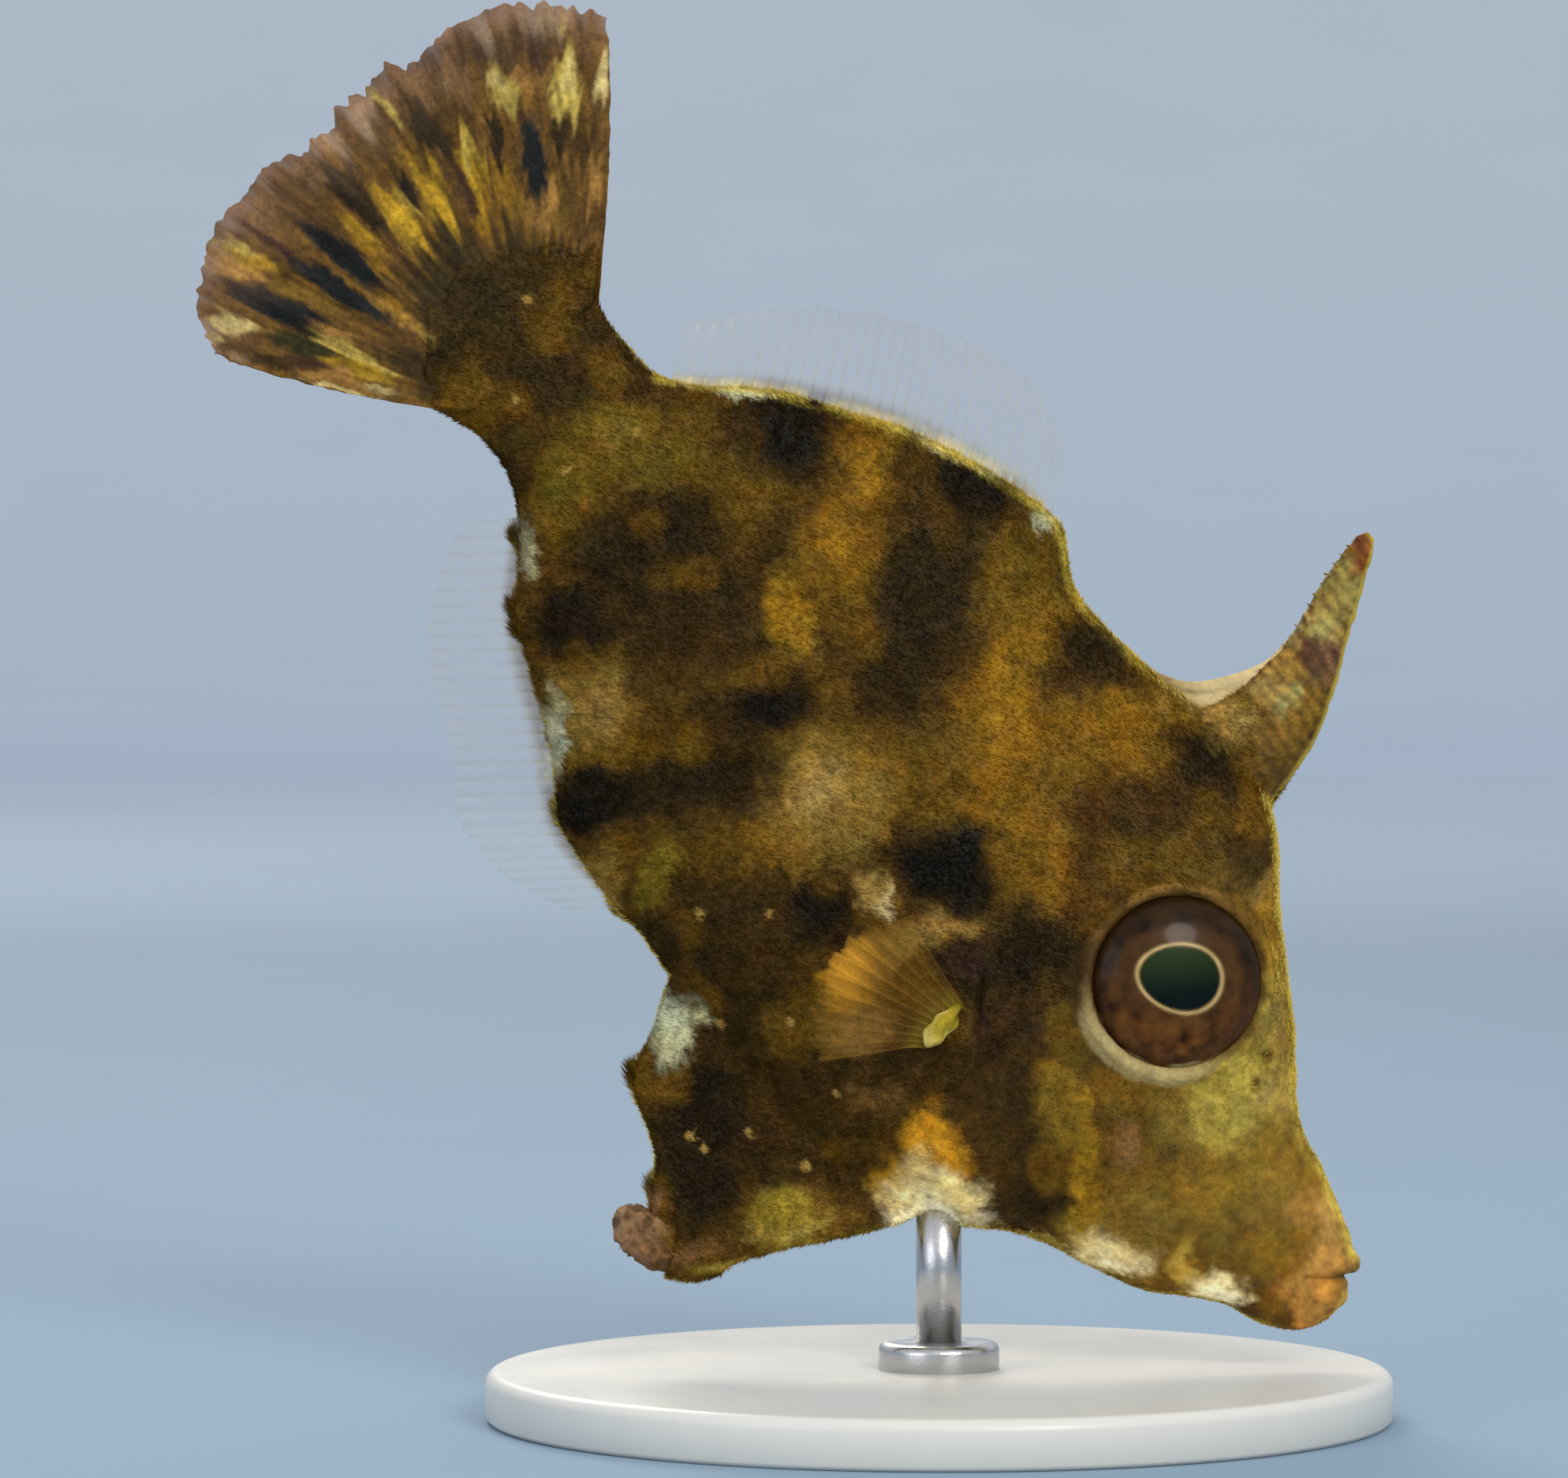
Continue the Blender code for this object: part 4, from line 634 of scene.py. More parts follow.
def facing_out(points, faces):
    """Arrays of faces, turned so that the closed form that they make has a positive volume."""
    corners = np.concatenate([group[:, [0, k, k + 1]] for group in faces for k in range(1, group.shape[1] - 1)])
    a, b, c = (points[corners[:, k]] for k in range(3))
    inside_out = np.einsum("ij,ij->i", a, np.cross(b, c)).sum() < 0
    return [group[:, ::-1] for group in faces] if inside_out else list(faces)


def evaluated(mesh, kind, **settings):
    """New mesh from an old one by one of the modelling tools."""
    worker = bpy.data.objects.new("worker", mesh)
    bpy.context.scene.collection.objects.link(worker)
    modifier = worker.modifiers.new("tool", kind)
    for name, value in settings.items():
        setattr(modifier, name, value)
    made = bpy.data.meshes.new_from_object(worker.evaluated_get(bpy.context.evaluated_depsgraph_get()))
    bpy.data.objects.remove(worker)
    bpy.data.meshes.remove(mesh)
    return made


def melted(forms, voxel):
    """Mesh of one even surface round closed forms that overlap."""
    points, faces, first = [], [], 0
    for places, *groups in forms:
        points.append(places)
        faces += [group + first for group in facing_out(places, groups)]
        first += len(places)
    joined = bpy.data.meshes.new("joined")
    joined.from_pydata(np.concatenate(points), [], [face for group in faces for face in group.tolist()])
    return evaluated(joined, "REMESH", mode="VOXEL", voxel_size=voxel)


def point_array(mesh, what="co"):
    """Places or normals of a mesh's points as an array."""
    flat = np.empty(len(mesh.vertices) * 3, np.float32)
    if what == "co":
        mesh.vertices.foreach_get("co", flat)
    else:
        mesh.vertex_normals.foreach_get("vector", flat)
    return flat.reshape(-1, 3).astype(float)


def move_points(mesh, points):
    """Puts a mesh's points in new places."""
    mesh.vertices.foreach_set("co", np.ascontiguousarray(points, np.float32).ravel())


def eased(mesh, rounds, pull=0.5, push=-0.52):
    """Evens out a mesh's steps while it keeps its size."""
    ends = np.empty(len(mesh.edges) * 2, np.int32)
    mesh.edges.foreach_get("vertices", ends)
    a, b = ends.reshape(-1, 2).T
    points = point_array(mesh)
    count = len(points)
    degree = np.maximum(np.bincount(ends, minlength=count), 1)[:, None]
    for share in (pull, push) * rounds:
        near = [np.bincount(a, points[b, k], count) + np.bincount(b, points[a, k], count) for k in range(3)]
        points += share * (np.stack(near, 1) / degree - points)
    move_points(mesh, points)
    mesh.update()


def mouth_place(points):
    """Distances ahead of and above the notch between the lips, along the mouth line."""
    s, h = -points[..., 0] - MOUTH_NOTCH[0], points[..., 2] - MOUTH_NOTCH[1]
    return (h * math.sin(MOUTH_SLOPE) - s * math.cos(MOUTH_SLOPE),
            s * math.sin(MOUTH_SLOPE) + h * math.cos(MOUTH_SLOPE))


def flank_place(points, s, h, reach):
    """Distances ahead, out and up from a place on the flank, for points of either side."""
    origin, axes = flank_frame(s, h, reach)
    return ((points * (1, 0, 1) + np.abs(points) * (0, 1, 0) - origin) @ axes.T).T


def eye_place(points):
    """Distances ahead, out and up from the eye's centre on its own flank, for points of either side."""
    return flank_place(points, *EYE_CENTRE, EYE_RADIUS)


def gill_place(points):
    """Distances across the gill slit, and 1 halfway along it to 0 at its ends and beyond."""
    ahead, out, above = flank_place(points, *GILL_SLIT, 1.0)
    run = ahead * math.cos(GILL_SLOPE) - above * math.sin(GILL_SLOPE)
    across = ahead * math.sin(GILL_SLOPE) + above * math.cos(GILL_SLOPE)
    return across, np.clip(1 - (run / (GILL_LENGTH / 2)) ** 2, 0, 1) * (np.abs(out) < GILL_DEPTH)


def skin_relief(points):
    """How far the skin is raised or sunk at its points, and how much of the coat it carries there."""
    s, h = -points[:, 0], points[:, 2]
    ahead, above = mouth_place(points)
    lips = soft_step(-1.5, -0.9, ahead) * soft_step(1.3, 1.0, above) * soft_step(-1.6, -1.3, above)
    x, out, z = eye_place(points)
    eye = np.hypot(x, z)
    beside = out > EYE_SIDE
    inside_rim = soft_step(3.4, 3.15, eye) * beside
    rim = soft_step(4.5, 4.1, eye) * beside
    rise = -COAT_DEPTH * (1 - 0.8 * np.maximum(lips, rim))
    rise -= 0.3 * np.exp(-((above + 0.08) / 0.12) ** 2) * soft_step(-1.6, -0.6, ahead)
    rise -= 0.9 * inside_rim
    across, taper = gill_place(points)
    lid = 0.16 * soft_step(1.6, 0.3, across) * soft_step(0.0, 0.2, across)
    rise += taper * (lid - 0.35 * np.exp(-(across / 0.13) ** 2))
    for nostril in NOSTRILS:
        away = np.linalg.norm(flank_place(points, *nostril, 0.6), axis=0)
        rise += 0.05 * np.exp(-((away - 0.42) / 0.13) ** 2) - 0.5 * np.exp(-(away / 0.21) ** 2)
    plain = 1 - np.maximum(lips, 0.7 * rim)
    rise = np.where(s > 49, rise * soft_step(51.5, 49.5, s), rise)
    rough = 0.07 * noise(points, 2.4, 31) + 0.04 * noise(points, 0.9, 32) + 0.025 * noise(points, 0.4, 33)
    rise += plain * soft_step(53, 50, s) * rough
    for line, sign in ((BACK_LINE, 1), (BELLY_LINE, -1)):
        depth = (curve(line, s) - h) * sign
        band = np.exp(-((depth - 1.6) / 1.3) ** 2) * soft_step(29, 31, s) * soft_step(45, 43, s)
        rise += 0.05 * band * np.sin(math.tau * (s + 0.45 * depth) / FOLD_PITCH)
    for s0, h0, radius in TUFT_BUMPS:
        rise += TUFT_RISE * np.exp(-((s - s0) ** 2 + (h - h0) ** 2) / radius**2)
    slit = np.exp(-((across / 0.3) ** 2)) * taper
    start = 3.65 + 0.5 * soft_step(0.2, 0.8, -z / np.maximum(eye, 0.1))
    carried = (1 - lips) * soft_step(0, 0.4, np.where(beside, eye, 9.0) - start) * (1 - slit) * soft_step(54.0, 50.5, s)
    return rise, carried


skin = melted([body_form(), flap_form(), sheath_form(), lip_form(UPPER_LIP), lip_form(LOWER_LIP),
               rim_form(1), rim_form(-1), collar_form(), knob_form(0, KNOB_ROOT_END, 0.1)], SKIN_VOXEL)
eased(skin, 5)
skin_points = point_array(skin)
skin_points += point_array(skin, "normal") * skin_relief(skin_points)[0][:, None]
move_points(skin, skin_points)
skin = evaluated(skin, "TRIANGULATE")
skin = evaluated(skin, "DECIMATE", ratio=min(1.0, SKIN_FACES / len(skin.polygons)))
skin_points = point_array(skin)
skin_normals = point_array(skin, "normal")
skin_coat = skin_relief(skin_points)[1]
skin_colours = markings(skin_points)


# Skin, its finish: a tough matt hide. Each point of a living surface carries its marking, and one shared grain of
# fine cells breaks up its shade, its gloss and its relief. A shadow rings each eye, with a pale crescent below it.
GRAIN_DEPTH = 0.08
IRIS_AT = (-0.12, -0.08)
CRESCENT_WAY = (0.4, -0.92)
CRESCENT_START = (3.3, 3.45)


def add_node(tree, kind, inputs=(), **settings):
    """Node of a kind with its settings, and with its inputs, by name or number, set or linked."""
    made = tree.nodes.new("ShaderNode" + kind)
    for name, value in settings.items():
        setattr(made, name, value)
    for socket, value in dict(inputs).items():
        if isinstance(value, bpy.types.NodeSocket):
            tree.links.new(value, made.inputs[socket])
        else:
            made.inputs[socket].default_value = value
    return made


def new_group(name, inputs, outputs):
    """Shader node group with named inputs and outputs, and its two end nodes."""
    tree = bpy.data.node_groups.new(name, "ShaderNodeTree")
    for socket, value in inputs.items():
        tree.interface.new_socket(socket, in_out="INPUT", socket_type="NodeSocketFloat").default_value = value
    for socket in outputs:
        tree.interface.new_socket(socket, in_out="OUTPUT", socket_type="NodeSocketFloat")
    return tree, tree.nodes.new("NodeGroupInput"), tree.nodes.new("NodeGroupOutput")


grain, grain_in, grain_out = new_group("Fine grain", {"Cell mm": 0.25, "Contrast": 0.2}, ("Shade", "Spread", "Height"))
place = add_node(grain, "TexCoord")
size = add_node(grain, "Math", {0: 1 / MM, 1: grain_in.outputs["Cell mm"]}, operation="DIVIDE")
cells = add_node(grain, "VectorMath", {0: place.outputs["Object"], "Scale": size.outputs[0]}, operation="SCALE")
cloud = add_node(grain, "TexNoise", {"Vector": cells.outputs[0], "Scale": 1.0, "Detail": 3.0})
broad = add_node(grain, "TexNoise", {"Vector": cells.outputs[0], "Scale": 0.17, "Detail": 2.0})
bead = add_node(grain, "TexVoronoi", {"Vector": cells.outputs[0], "Scale": 1.0})
centred = add_node(grain, "Math", {0: cloud.outputs[0], 1: 0.5}, operation="SUBTRACT")
contrast = grain_in.outputs["Contrast"]
shade = add_node(grain, "Math", {0: centred.outputs[0], 1: contrast, 2: 1.0}, operation="MULTIPLY_ADD")
relief = add_node(grain, "Math", {0: bead.outputs["Distance"], 1: -0.5, 2: cloud.outputs[0]}, operation="MULTIPLY_ADD")
for outlet, node in (("Shade", shade), ("Spread", broad), ("Height", relief)):
    grain.links.new(node.outputs[0], grain_out.inputs[outlet])


def marked_finish(name, cell, contrast, gloss, bump, fixed=(), solidity=False, tone=None):
    """Finish in the colours that its mesh carries, or in one tone. gloss is the least and greatest roughness."""
    made = bpy.data.materials.new(name)
    made.use_nodes = True
    tree = made.node_tree
    surface = tree.nodes["Principled BSDF"]
    for socket, value in dict(fixed).items():
        surface.inputs[socket].default_value = value
    marking = tuple(linear(tone)) if tone else add_node(tree, "Attribute", attribute_name="Marking").outputs["Color"]
    grains = add_node(tree, "Group", {"Cell mm": cell, "Contrast": contrast}, node_tree=grain)
    colour = add_node(tree, "VectorMath", {0: marking, "Scale": grains.outputs["Shade"]}, operation="SCALE")
    rough = add_node(tree, "MapRange", {0: grains.outputs["Spread"], 1: 0.3, 2: 0.7, 3: gloss[0], 4: gloss[1]})
    height = grains.outputs["Height"]
    raised = add_node(tree, "Bump", {"Strength": bump, "Distance": GRAIN_DEPTH * MM, "Height": height})
    for node, socket in ((colour, "Base Color"), (rough, "Roughness"), (raised, "Normal")):
        tree.links.new(node.outputs[0], surface.inputs[socket])
    if solidity:
        solid = add_node(tree, "Attribute", attribute_name="Solidity")
        vary = add_node(tree, "Math", {0: solid.outputs["Fac"], 1: grains.outputs["Shade"]},
                        operation="MULTIPLY", use_clamp=True)
        tree.links.new(vary.outputs[0], surface.inputs["Alpha"])
    return made


def set_colour(mesh, colours, least=0.002):
    """Keeps a colour for each point of a mesh, which its finish reads."""
    layer = mesh.color_attributes.new("Marking", "FLOAT_COLOR", "POINT")
    full = np.append(np.clip(colours, least, 1), np.ones((len(colours), 1)), 1)
    layer.data.foreach_set("color", full.astype(np.float32).ravel())


def add_piece(name, mesh, finish, slot, *nodes):
    """Shown piece with one finish, riding on the model's one body in place of the nodes named."""
    piece = bpy.data.objects.new(name, mesh)
    bpy.context.scene.collection.objects.link(piece)
    mesh.shade_smooth()
    mesh.materials.append(finish)
    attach(piece, "root")
    if nodes:
        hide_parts(*nodes)


x, out, z = eye_place(skin_points)
ring = np.hypot(x - IRIS_AT[0], z - IRIS_AT[1]) * (1 + 0.02 * noise(skin_points, 0.5, 40))
beside_eye = out > EYE_SIDE
below = soft_step(0.25, 0.95, (CRESCENT_WAY[0] * x + CRESCENT_WAY[1] * z) / np.maximum(ring, 0.1))
brow = soft_step(0.2, 0.85, (0.66 * z - 0.75 * x) / np.maximum(ring, 0.1))
shadow = soft_step(3.95, 3.55, ring + 0.14 * noise(skin_points, 0.35, 42)) * beside_eye * (1 - 0.9 * below)
brush(skin_colours, linear((62, 43, 22)), shadow * (0.75 - 0.3 * brow))
crescent = soft_step(*CRESCENT_START, ring) * soft_step(3.7 + 0.6 * below, 3.5 + 0.5 * below, ring) * beside_eye
rim_tone = linear((116, 88, 50)) + (linear((186, 166, 112)) - linear((116, 88, 50))) * below[:, None]
brush(skin_colours, rim_tone * (1 + 0.3 * noise(skin_points, 0.6, 41))[:, None], crescent * (0.15 + 0.7 * below))
arc = soft_step(0.24, 0.08, np.abs(ring + 0.1 * noise(skin_points, 0.5, 43) - 3.68))
arc *= soft_step(-0.5, 0.2, noise(skin_points, 0.4, 44))
brush(skin_colours, linear((138, 100, 48)), arc * brow * beside_eye * 0.7)
set_colour(skin, skin_colours)
move_points(skin, in_row(skin_points))
skin.update()
skin_finish = marked_finish("fish_skin", cell=0.24, contrast=0.7, gloss=(0.5, 0.75), bump=0.7,
                            fixed={"Specular IOR Level": 0.12})
add_piece("fish_skin", skin, skin_finish, "skin", "head", "torso", "tail_stalk", "pelvic_flap")


# Coat: each scale carries fine bristles that make the skin feel like velvet. They are short on the face, lie back
# towards the tail in overlapping rows on both sides, and stand out as a fringe along the back and the jaw, coloured
# pale yellow there as a painted rim light.
COAT_SEED = 11
FACE_END = 16.0
REAR_START = 30.0
FRINGE_HAIRS = 17000
FRINGE_WIDTH = 0.024
HAIR_TUFTS = TUFT_BUMPS + ((24.4, -16.7, 0.6), (29.9, 10.9, 0.5), (20.9, -19.3, 0.5))
HAIR_CORNERS = (0.5, 2.6, 4.7)
HAIR_SINK = 0.03
HAIR_SCATTER = 0.13
BAKE_PATCH = 0.003
dice = np.random.default_rng(COAT_SEED)


def mesh_of(name, points, *faces):
    """Mesh from points and arrays of faces."""
    faces = facing_out(points, faces)
    sizes = np.concatenate([np.full(len(group), group.shape[1]) for group in faces])
    loops = np.concatenate([group.ravel() for group in faces])
    mesh = bpy.data.meshes.new(name)
    mesh.vertices.add(len(points))
    move_points(mesh, points)
    mesh.loops.add(len(loops))
    mesh.loops.foreach_set("vertex_index", loops.astype(np.int32))
    mesh.polygons.add(len(sizes))
    mesh.polygons.foreach_set("loop_start", np.append(0, np.cumsum(sizes)[:-1]).astype(np.int32))
    mesh.update(calc_edges=True)
    mesh.validate()
    return mesh


def corners_of(mesh):
    """Point number of each corner of a mesh's faces."""
    corners = np.empty(len(mesh.loops), np.int32)
    mesh.loops.foreach_get("vertex_index", corners)
    return corners


def hair_form(roots, normals, lay, length, width, curl, steps):
    """Points and triangles of closed, tapering three-sided hairs, each bent outwards by its curl."""
    aside = unit(np.cross(lay, normals))
    upward = np.cross(aside, lay)
    rings = []
    for k in range(steps):
        t = k / steps
        middle = roots + lay * (length * t)[:, None] + normals * (curl * t * t)[:, None]
        for turn in HAIR_CORNERS:
            spoke = aside * math.cos(turn) + upward * math.sin(turn)
            rings.append(middle + spoke * (width * (1 - 0.55 * t))[:, None])
    rings.append(roots + lay * length[:, None] + normals * curl[:, None])
    each = 3 * steps + 1
    faces = [(0, 2, 1)]
    for k in range(steps - 1):
        for j in range(3):
            a, b = 3 * k + j, 3 * k + (j + 1) % 3
            faces += [(a, b, b + 3), (a, b + 3, a + 3)]
    faces += [(each - 4 + j, each - 4 + (j + 1) % 3, each - 1) for j in range(3)]
    faces = np.array(faces)[None] + (np.arange(len(roots)) * each)[:, None, None]
    return np.stack(rings, 1).reshape(-1, 3), faces.reshape(-1, 3), each


def unrolled(points):
    """Place of skin points on the skin unrolled lengthwise, the right side below and the left side above."""
    s, h = -points[:, 0], points[:, 2]
    middle, _, _, width, _ = section(s)
    girth = (h - middle) + np.sign(h - middle) * np.maximum(width - np.abs(points[:, 1]), 0) * 0.6
    return np.stack([0.02 + 0.96 * (s + 0.75) / 52, np.where(points[:, 1] < 0, 0.25, 0.75) + girth / 80], 1)


def add_coat(name, roots, normals, lay, length, width, curl, steps, colours):
    """Piece of hairs with their colours and with a bake patch for each at its root's place."""
    points, faces, each = hair_form(roots, normals, lay, length, width, curl, steps)
    mesh = mesh_of(name, in_row(points), faces)
    tip = np.tile(np.append(np.repeat(np.arange(steps) / steps, 3), 1.0), len(roots))
    set_colour(mesh, np.repeat(colours, each, axis=0) * (0.85 + 0.4 * tip)[:, None], 0)
    turn = np.tile(np.append(np.tile(HAIR_CORNERS, steps), 0.0), len(roots))
    patch = np.stack([np.cos(turn), np.sin(turn)], 1) * (BAKE_PATCH / 2 * (1 - tip))[:, None]
    spread = np.repeat(unrolled(roots), each, axis=0) + patch
    mesh.uv_layers.new(name="OFBake").data.foreach_set("uv", spread[corners_of(mesh)].astype(np.float32).ravel())
    add_piece(name, mesh, coat_finish, "skin")


def coat_roots(count, weights):
    """Seeded places on the skin, their normals and their sides' lay towards the tail."""
    reach = np.cumsum(weights)
    picked = np.searchsorted(reach, dice.random(count) * reach[-1]).clip(0, len(weights) - 1)
    a, b = dice.random((2, count))
    swap = a + b > 1
    a, b = np.where(swap, 1 - a, a), np.where(swap, 1 - b, b)
    share = np.stack([1 - a - b, a, b], 1)[..., None]
    roots = (skin_points[skin_corners[picked]] * share).sum(1)
    normals = unit((skin_normals[skin_corners[picked]] * share).sum(1))
    back = np.array([-1.0, 0, -0.15]) + dice.normal(0, HAIR_SCATTER, (count, 3))
    return roots - normals * HAIR_SINK, normals, unit(back - normals * (back * normals).sum(1)[:, None])


def lifted(lay, normals, least, most):
    """Lay of hairs that stand off the skin by seeded angles between two, in degrees."""
    lift = np.radians(dice.uniform(least, most, len(lay)))[:, None]
    return unit(lay * np.cos(lift) + normals * np.sin(lift))


def near_tuft(points):
    """1 in the middle of a tuft and 0 away from all of them."""
    s, h = -points[:, 0], points[:, 2]
    return np.max([np.exp(-((s - s0) ** 2 + (h - h0) ** 2) / r**2) for s0, h0, r in HAIR_TUFTS], axis=0)


skin_corners = corners_of(skin).reshape(-1, 3)
corner_points = skin_points[skin_corners]
first_side, last_side = corner_points[:, 1] - corner_points[:, 0], corner_points[:, 2] - corner_points[:, 0]
skin_areas = np.linalg.norm(np.cross(first_side, last_side), axis=1) / 2
triangle_coat = skin_coat[skin_corners].mean(1) * skin_areas
middles = corner_points.mean(1)
lengthwise = -middles[:, 0]
face, rear = lengthwise < FACE_END, lengthwise >= REAR_START
right, flap = middles[:, 1] < 0, middles[:, 2] < curve(BELLY_LINE, lengthwise) + 0.4
coat_finish = marked_finish("fish_bristles", cell=0.1, contrast=0.3, gloss=(0.6, 0.8), bump=0.1,
                            fixed={"Specular IOR Level": 0.03})
for name, where, count, reach, thick in (
    ("coat_head", face & ~flap, 46000, 0.17, 0.024),
    ("coat_right_front", ~face & ~rear & right & ~flap, 46000, 0.24, 0.028),
    ("coat_left_front", ~face & ~rear & ~right & ~flap, 46000, 0.24, 0.028),
    ("coat_right_rear", rear & right & ~flap, 44000, 0.24, 0.028),
    ("coat_left_rear", rear & ~right & ~flap, 44000, 0.24, 0.028),
    ("coat_flap", flap, 38000, 0.22, 0.026),
):
    roots, normals, lay = coat_roots(count, triangle_coat * where)
    lay = lifted(lay, normals, 18, 46)
    length = reach * dice.uniform(0.6, 1.3, count) * (0.45 + 0.55 * soft_step(1.0, 12.0, -roots[:, 0]))
    width = thick * dice.uniform(0.7, 1.2, count)
    colours = markings(roots) * dice.uniform(0.75, 1.3, count)[:, None]
    add_coat(name, roots, normals, lay, length, width, 0 * length, 1, colours)

edge_on = soft_step(0.55, 0.2, np.abs(skin_normals[skin_corners][..., 1]).mean(1))
roots, normals, lay = coat_roots(FRINGE_HAIRS, triangle_coat * edge_on * (1 + 5 * near_tuft(middles)))
s, tufted = -roots[:, 0], near_tuft(roots)
lay = lifted(lay, normals, 25, 60)
length = dice.uniform(0.22, 0.42, FRINGE_HAIRS) * (0.5 + 0.5 * soft_step(2, 12, s)) * (1 + 1.9 * tufted)
# Painted rim light: the fringe hairs are laid over with pale yellow, as if lit from behind, except in the dark tufts
# and towards the tail.
pale = linear((214, 190, 92)) * dice.uniform(0.6, 1.25, FRINGE_HAIRS)[:, None]
colours = markings(roots)
brush(colours, pale, 0.9 * (1 - tufted) * soft_step(0.4, -0.2, noise(roots, 3.0, 51)) * soft_step(49, 46, s))
colours *= (1 - 0.6 * tufted)[:, None]
width = FRINGE_WIDTH * dice.uniform(0.7, 1.2, FRINGE_HAIRS)
add_coat("coat_fringe", roots, normals, lay, length, width, -0.2 * length, 2, colours)


# Eyes: each is one glossy dome set in its socket. The dark brown iris is flecked, and a thin cream ring parts it from
# the egg-shaped pupil, whose faint green glow towards its top is painted light. A pale crescent of the eyeball shows
# below the iris.
EYE_DEPTH = 1.45
EYE_SINK = 0.5
EYE_BACK = 1.35
EYE_START = 0.004
PUPIL = (1.6, 1.25)
PUPIL_AT = (-0.28, 0.07)
PUPIL_TILT = math.radians(39)
EYE_GLAZE = {"Specular IOR Level": 0.05, "Coat Weight": 0.28, "Coat Roughness": 0.12, "Coat IOR": 1.3}
eye_finish = marked_finish("eye", cell=0.12, contrast=0.35, gloss=(0.3, 0.4), bump=0.02, fixed=EYE_GLAZE)
for eye_name, side in (("eye_right", -1), ("eye_left", 1)):
    origin, axes = flank_frame(*EYE_CENTRE, EYE_RADIUS)
    last = math.acos((EYE_SINK - EYE_BACK) / EYE_DEPTH)
    swing = (EYE_START + (last - EYE_START) * np.linspace(0, 1, 100) ** 0.9)[:, None]
    turn = full_turn(140)
    local = np.stack([EYE_RADIUS * np.sin(swing) * np.cos(turn), EYE_DEPTH * np.cos(swing) - EYE_SINK + 0 * turn,
                      EYE_RADIUS * np.sin(swing) * np.sin(turn)], -1)
    points, *faces = tube((origin + local @ axes) * (1, side, 1))
    mesh = mesh_of(eye_name, in_row(points), *faces)
    x, _, z = eye_place(points)
    ahead, above = x - PUPIL_AT[0], z - PUPIL_AT[1]
    across = ahead * math.cos(PUPIL_TILT) + above * math.sin(PUPIL_TILT)
    upright = above * math.cos(PUPIL_TILT) - ahead * math.sin(PUPIL_TILT)
    ring = np.hypot(across / PUPIL[0], upright / PUPIL[1] * (1 - 0.1 * across / PUPIL[0]))
    radius = np.hypot(x - IRIS_AT[0], z - IRIS_AT[1]) + 0.1 * noise(points, 0.7, 65)
    flecks = noise(points, 0.5, 61) + 0.6 * noise(points, 0.22, 62)
    low = soft_step(-1.4, 3.2, 0.75 * x - 0.66 * z)[:, None]
    colours = (linear((43, 30, 17)) * (1 - low) + linear((88, 56, 27)) * low) * (1 + 0.8 * flecks)[:, None]
    brush(colours, linear((50, 34, 19)), soft_step(2.5, 3.3, radius) * 0.55)
    brush(colours, linear((112, 76, 42)), soft_step(0.9, 0.2, np.abs(ring - 1.35) / 0.5) * 0.25)
    white = soft_step(3.28, 3.42, radius + 0.08 * noise(points, 0.4, 63))
    white *= soft_step(1.6, 3.1, CRESCENT_WAY[0] * x + CRESCENT_WAY[1] * z)
    brush(colours, linear((180, 162, 116)), white * 0.8)
    gold = np.exp(-((ring - 1.07) / 0.055) ** 2) * (0.8 + 0.2 * noise(points, 0.4, 64))
    brush(colours, linear((216, 184, 124)), gold * 0.9)
    # Painted light: the pupil grows from near black to a faint green towards its top, where light shows in the lens.
    lit = soft_step(-0.9, 1.3, upright - 0.3 * across)[:, None]
    brush(colours, linear((12, 24, 22)) * (1 - lit) + linear((42, 54, 28)) * lit, soft_step(1.03, 0.96, ring))
    set_colour(mesh, colours)
    add_piece(eye_name + "_dome", mesh, eye_finish, "eye", eye_name)


# First dorsal spine: a stout, rough bony spine under thin skin, with two rows of barbs that point down behind it and
# small granules all over. A low web of skin ties it to the back.
SPINE_SLICES = (
    (9.0, 18.6, 2.5, 1.2), (10.8, 18.55, 2.05, 1.15), (12.7, 18.85, 1.75, 1.0), (14.2, 19.35, 1.4, 0.85),
    (15.9, 20.2, 1.1, 0.7), (17.7, 21.05, 0.8, 0.55), (18.9, 21.55, 0.5, 0.4), (19.4, 21.7, 0.22, 0.2),
)
SPINE_VOXEL = 0.06
SUBSURFACE_REACH = 0.0004
BARB_ROWS = 17
BARB_SPAN = (11.8, 19.0)
BARB_SIZES = (0.7, 0.4, 0.85, 0.5, 0.6)
WEB_ROOT = ((18.4, 8.6), (23.2, 8.6))
WEB_EDGE = ((20.75, 14.2), (20.7, 12.9), (21.35, 11.2), (22.1, 10.1), (23.2, 9.4))


def spike(foot, tip, radius, sides=8, rings=5):
    """Closed, slightly hooked cone from its foot to its tip."""
    foot, tip = np.array(foot, float), np.array(tip, float)
    run = unit(tip - foot)
    aside = unit(np.cross(run, (0.3, 1.0, 0.2)))
    turn = full_turn(sides).T
    circle = aside * np.cos(turn) + np.cross(run, aside) * np.sin(turn)
    shares = np.linspace(0, 1, rings)
    return tube(np.stack([foot + (tip - foot) * t + circle * radius * (1 - 0.92 * t**1.3) for t in shares]))


def waxy(gloss, glow):
    """Gloss of wet tissue and the light that soaks into it."""
    return {"Specular IOR Level": gloss, "Subsurface Weight": glow, "Subsurface Scale": SUBSURFACE_REACH}


def roughened(mesh, amount, cell, seed, rounds=3):
    """Eases a melted mesh and roughens it with knobby noise. Returns its points."""
    eased(mesh, rounds)
    points = point_array(mesh)
    knobby = amount * (noise(points, cell, seed) + 0.6 * np.abs(noise(points, cell / 2, seed + 1)))
    return points + point_array(mesh, "normal") * (knobby - amount * 0.6)[:, None]


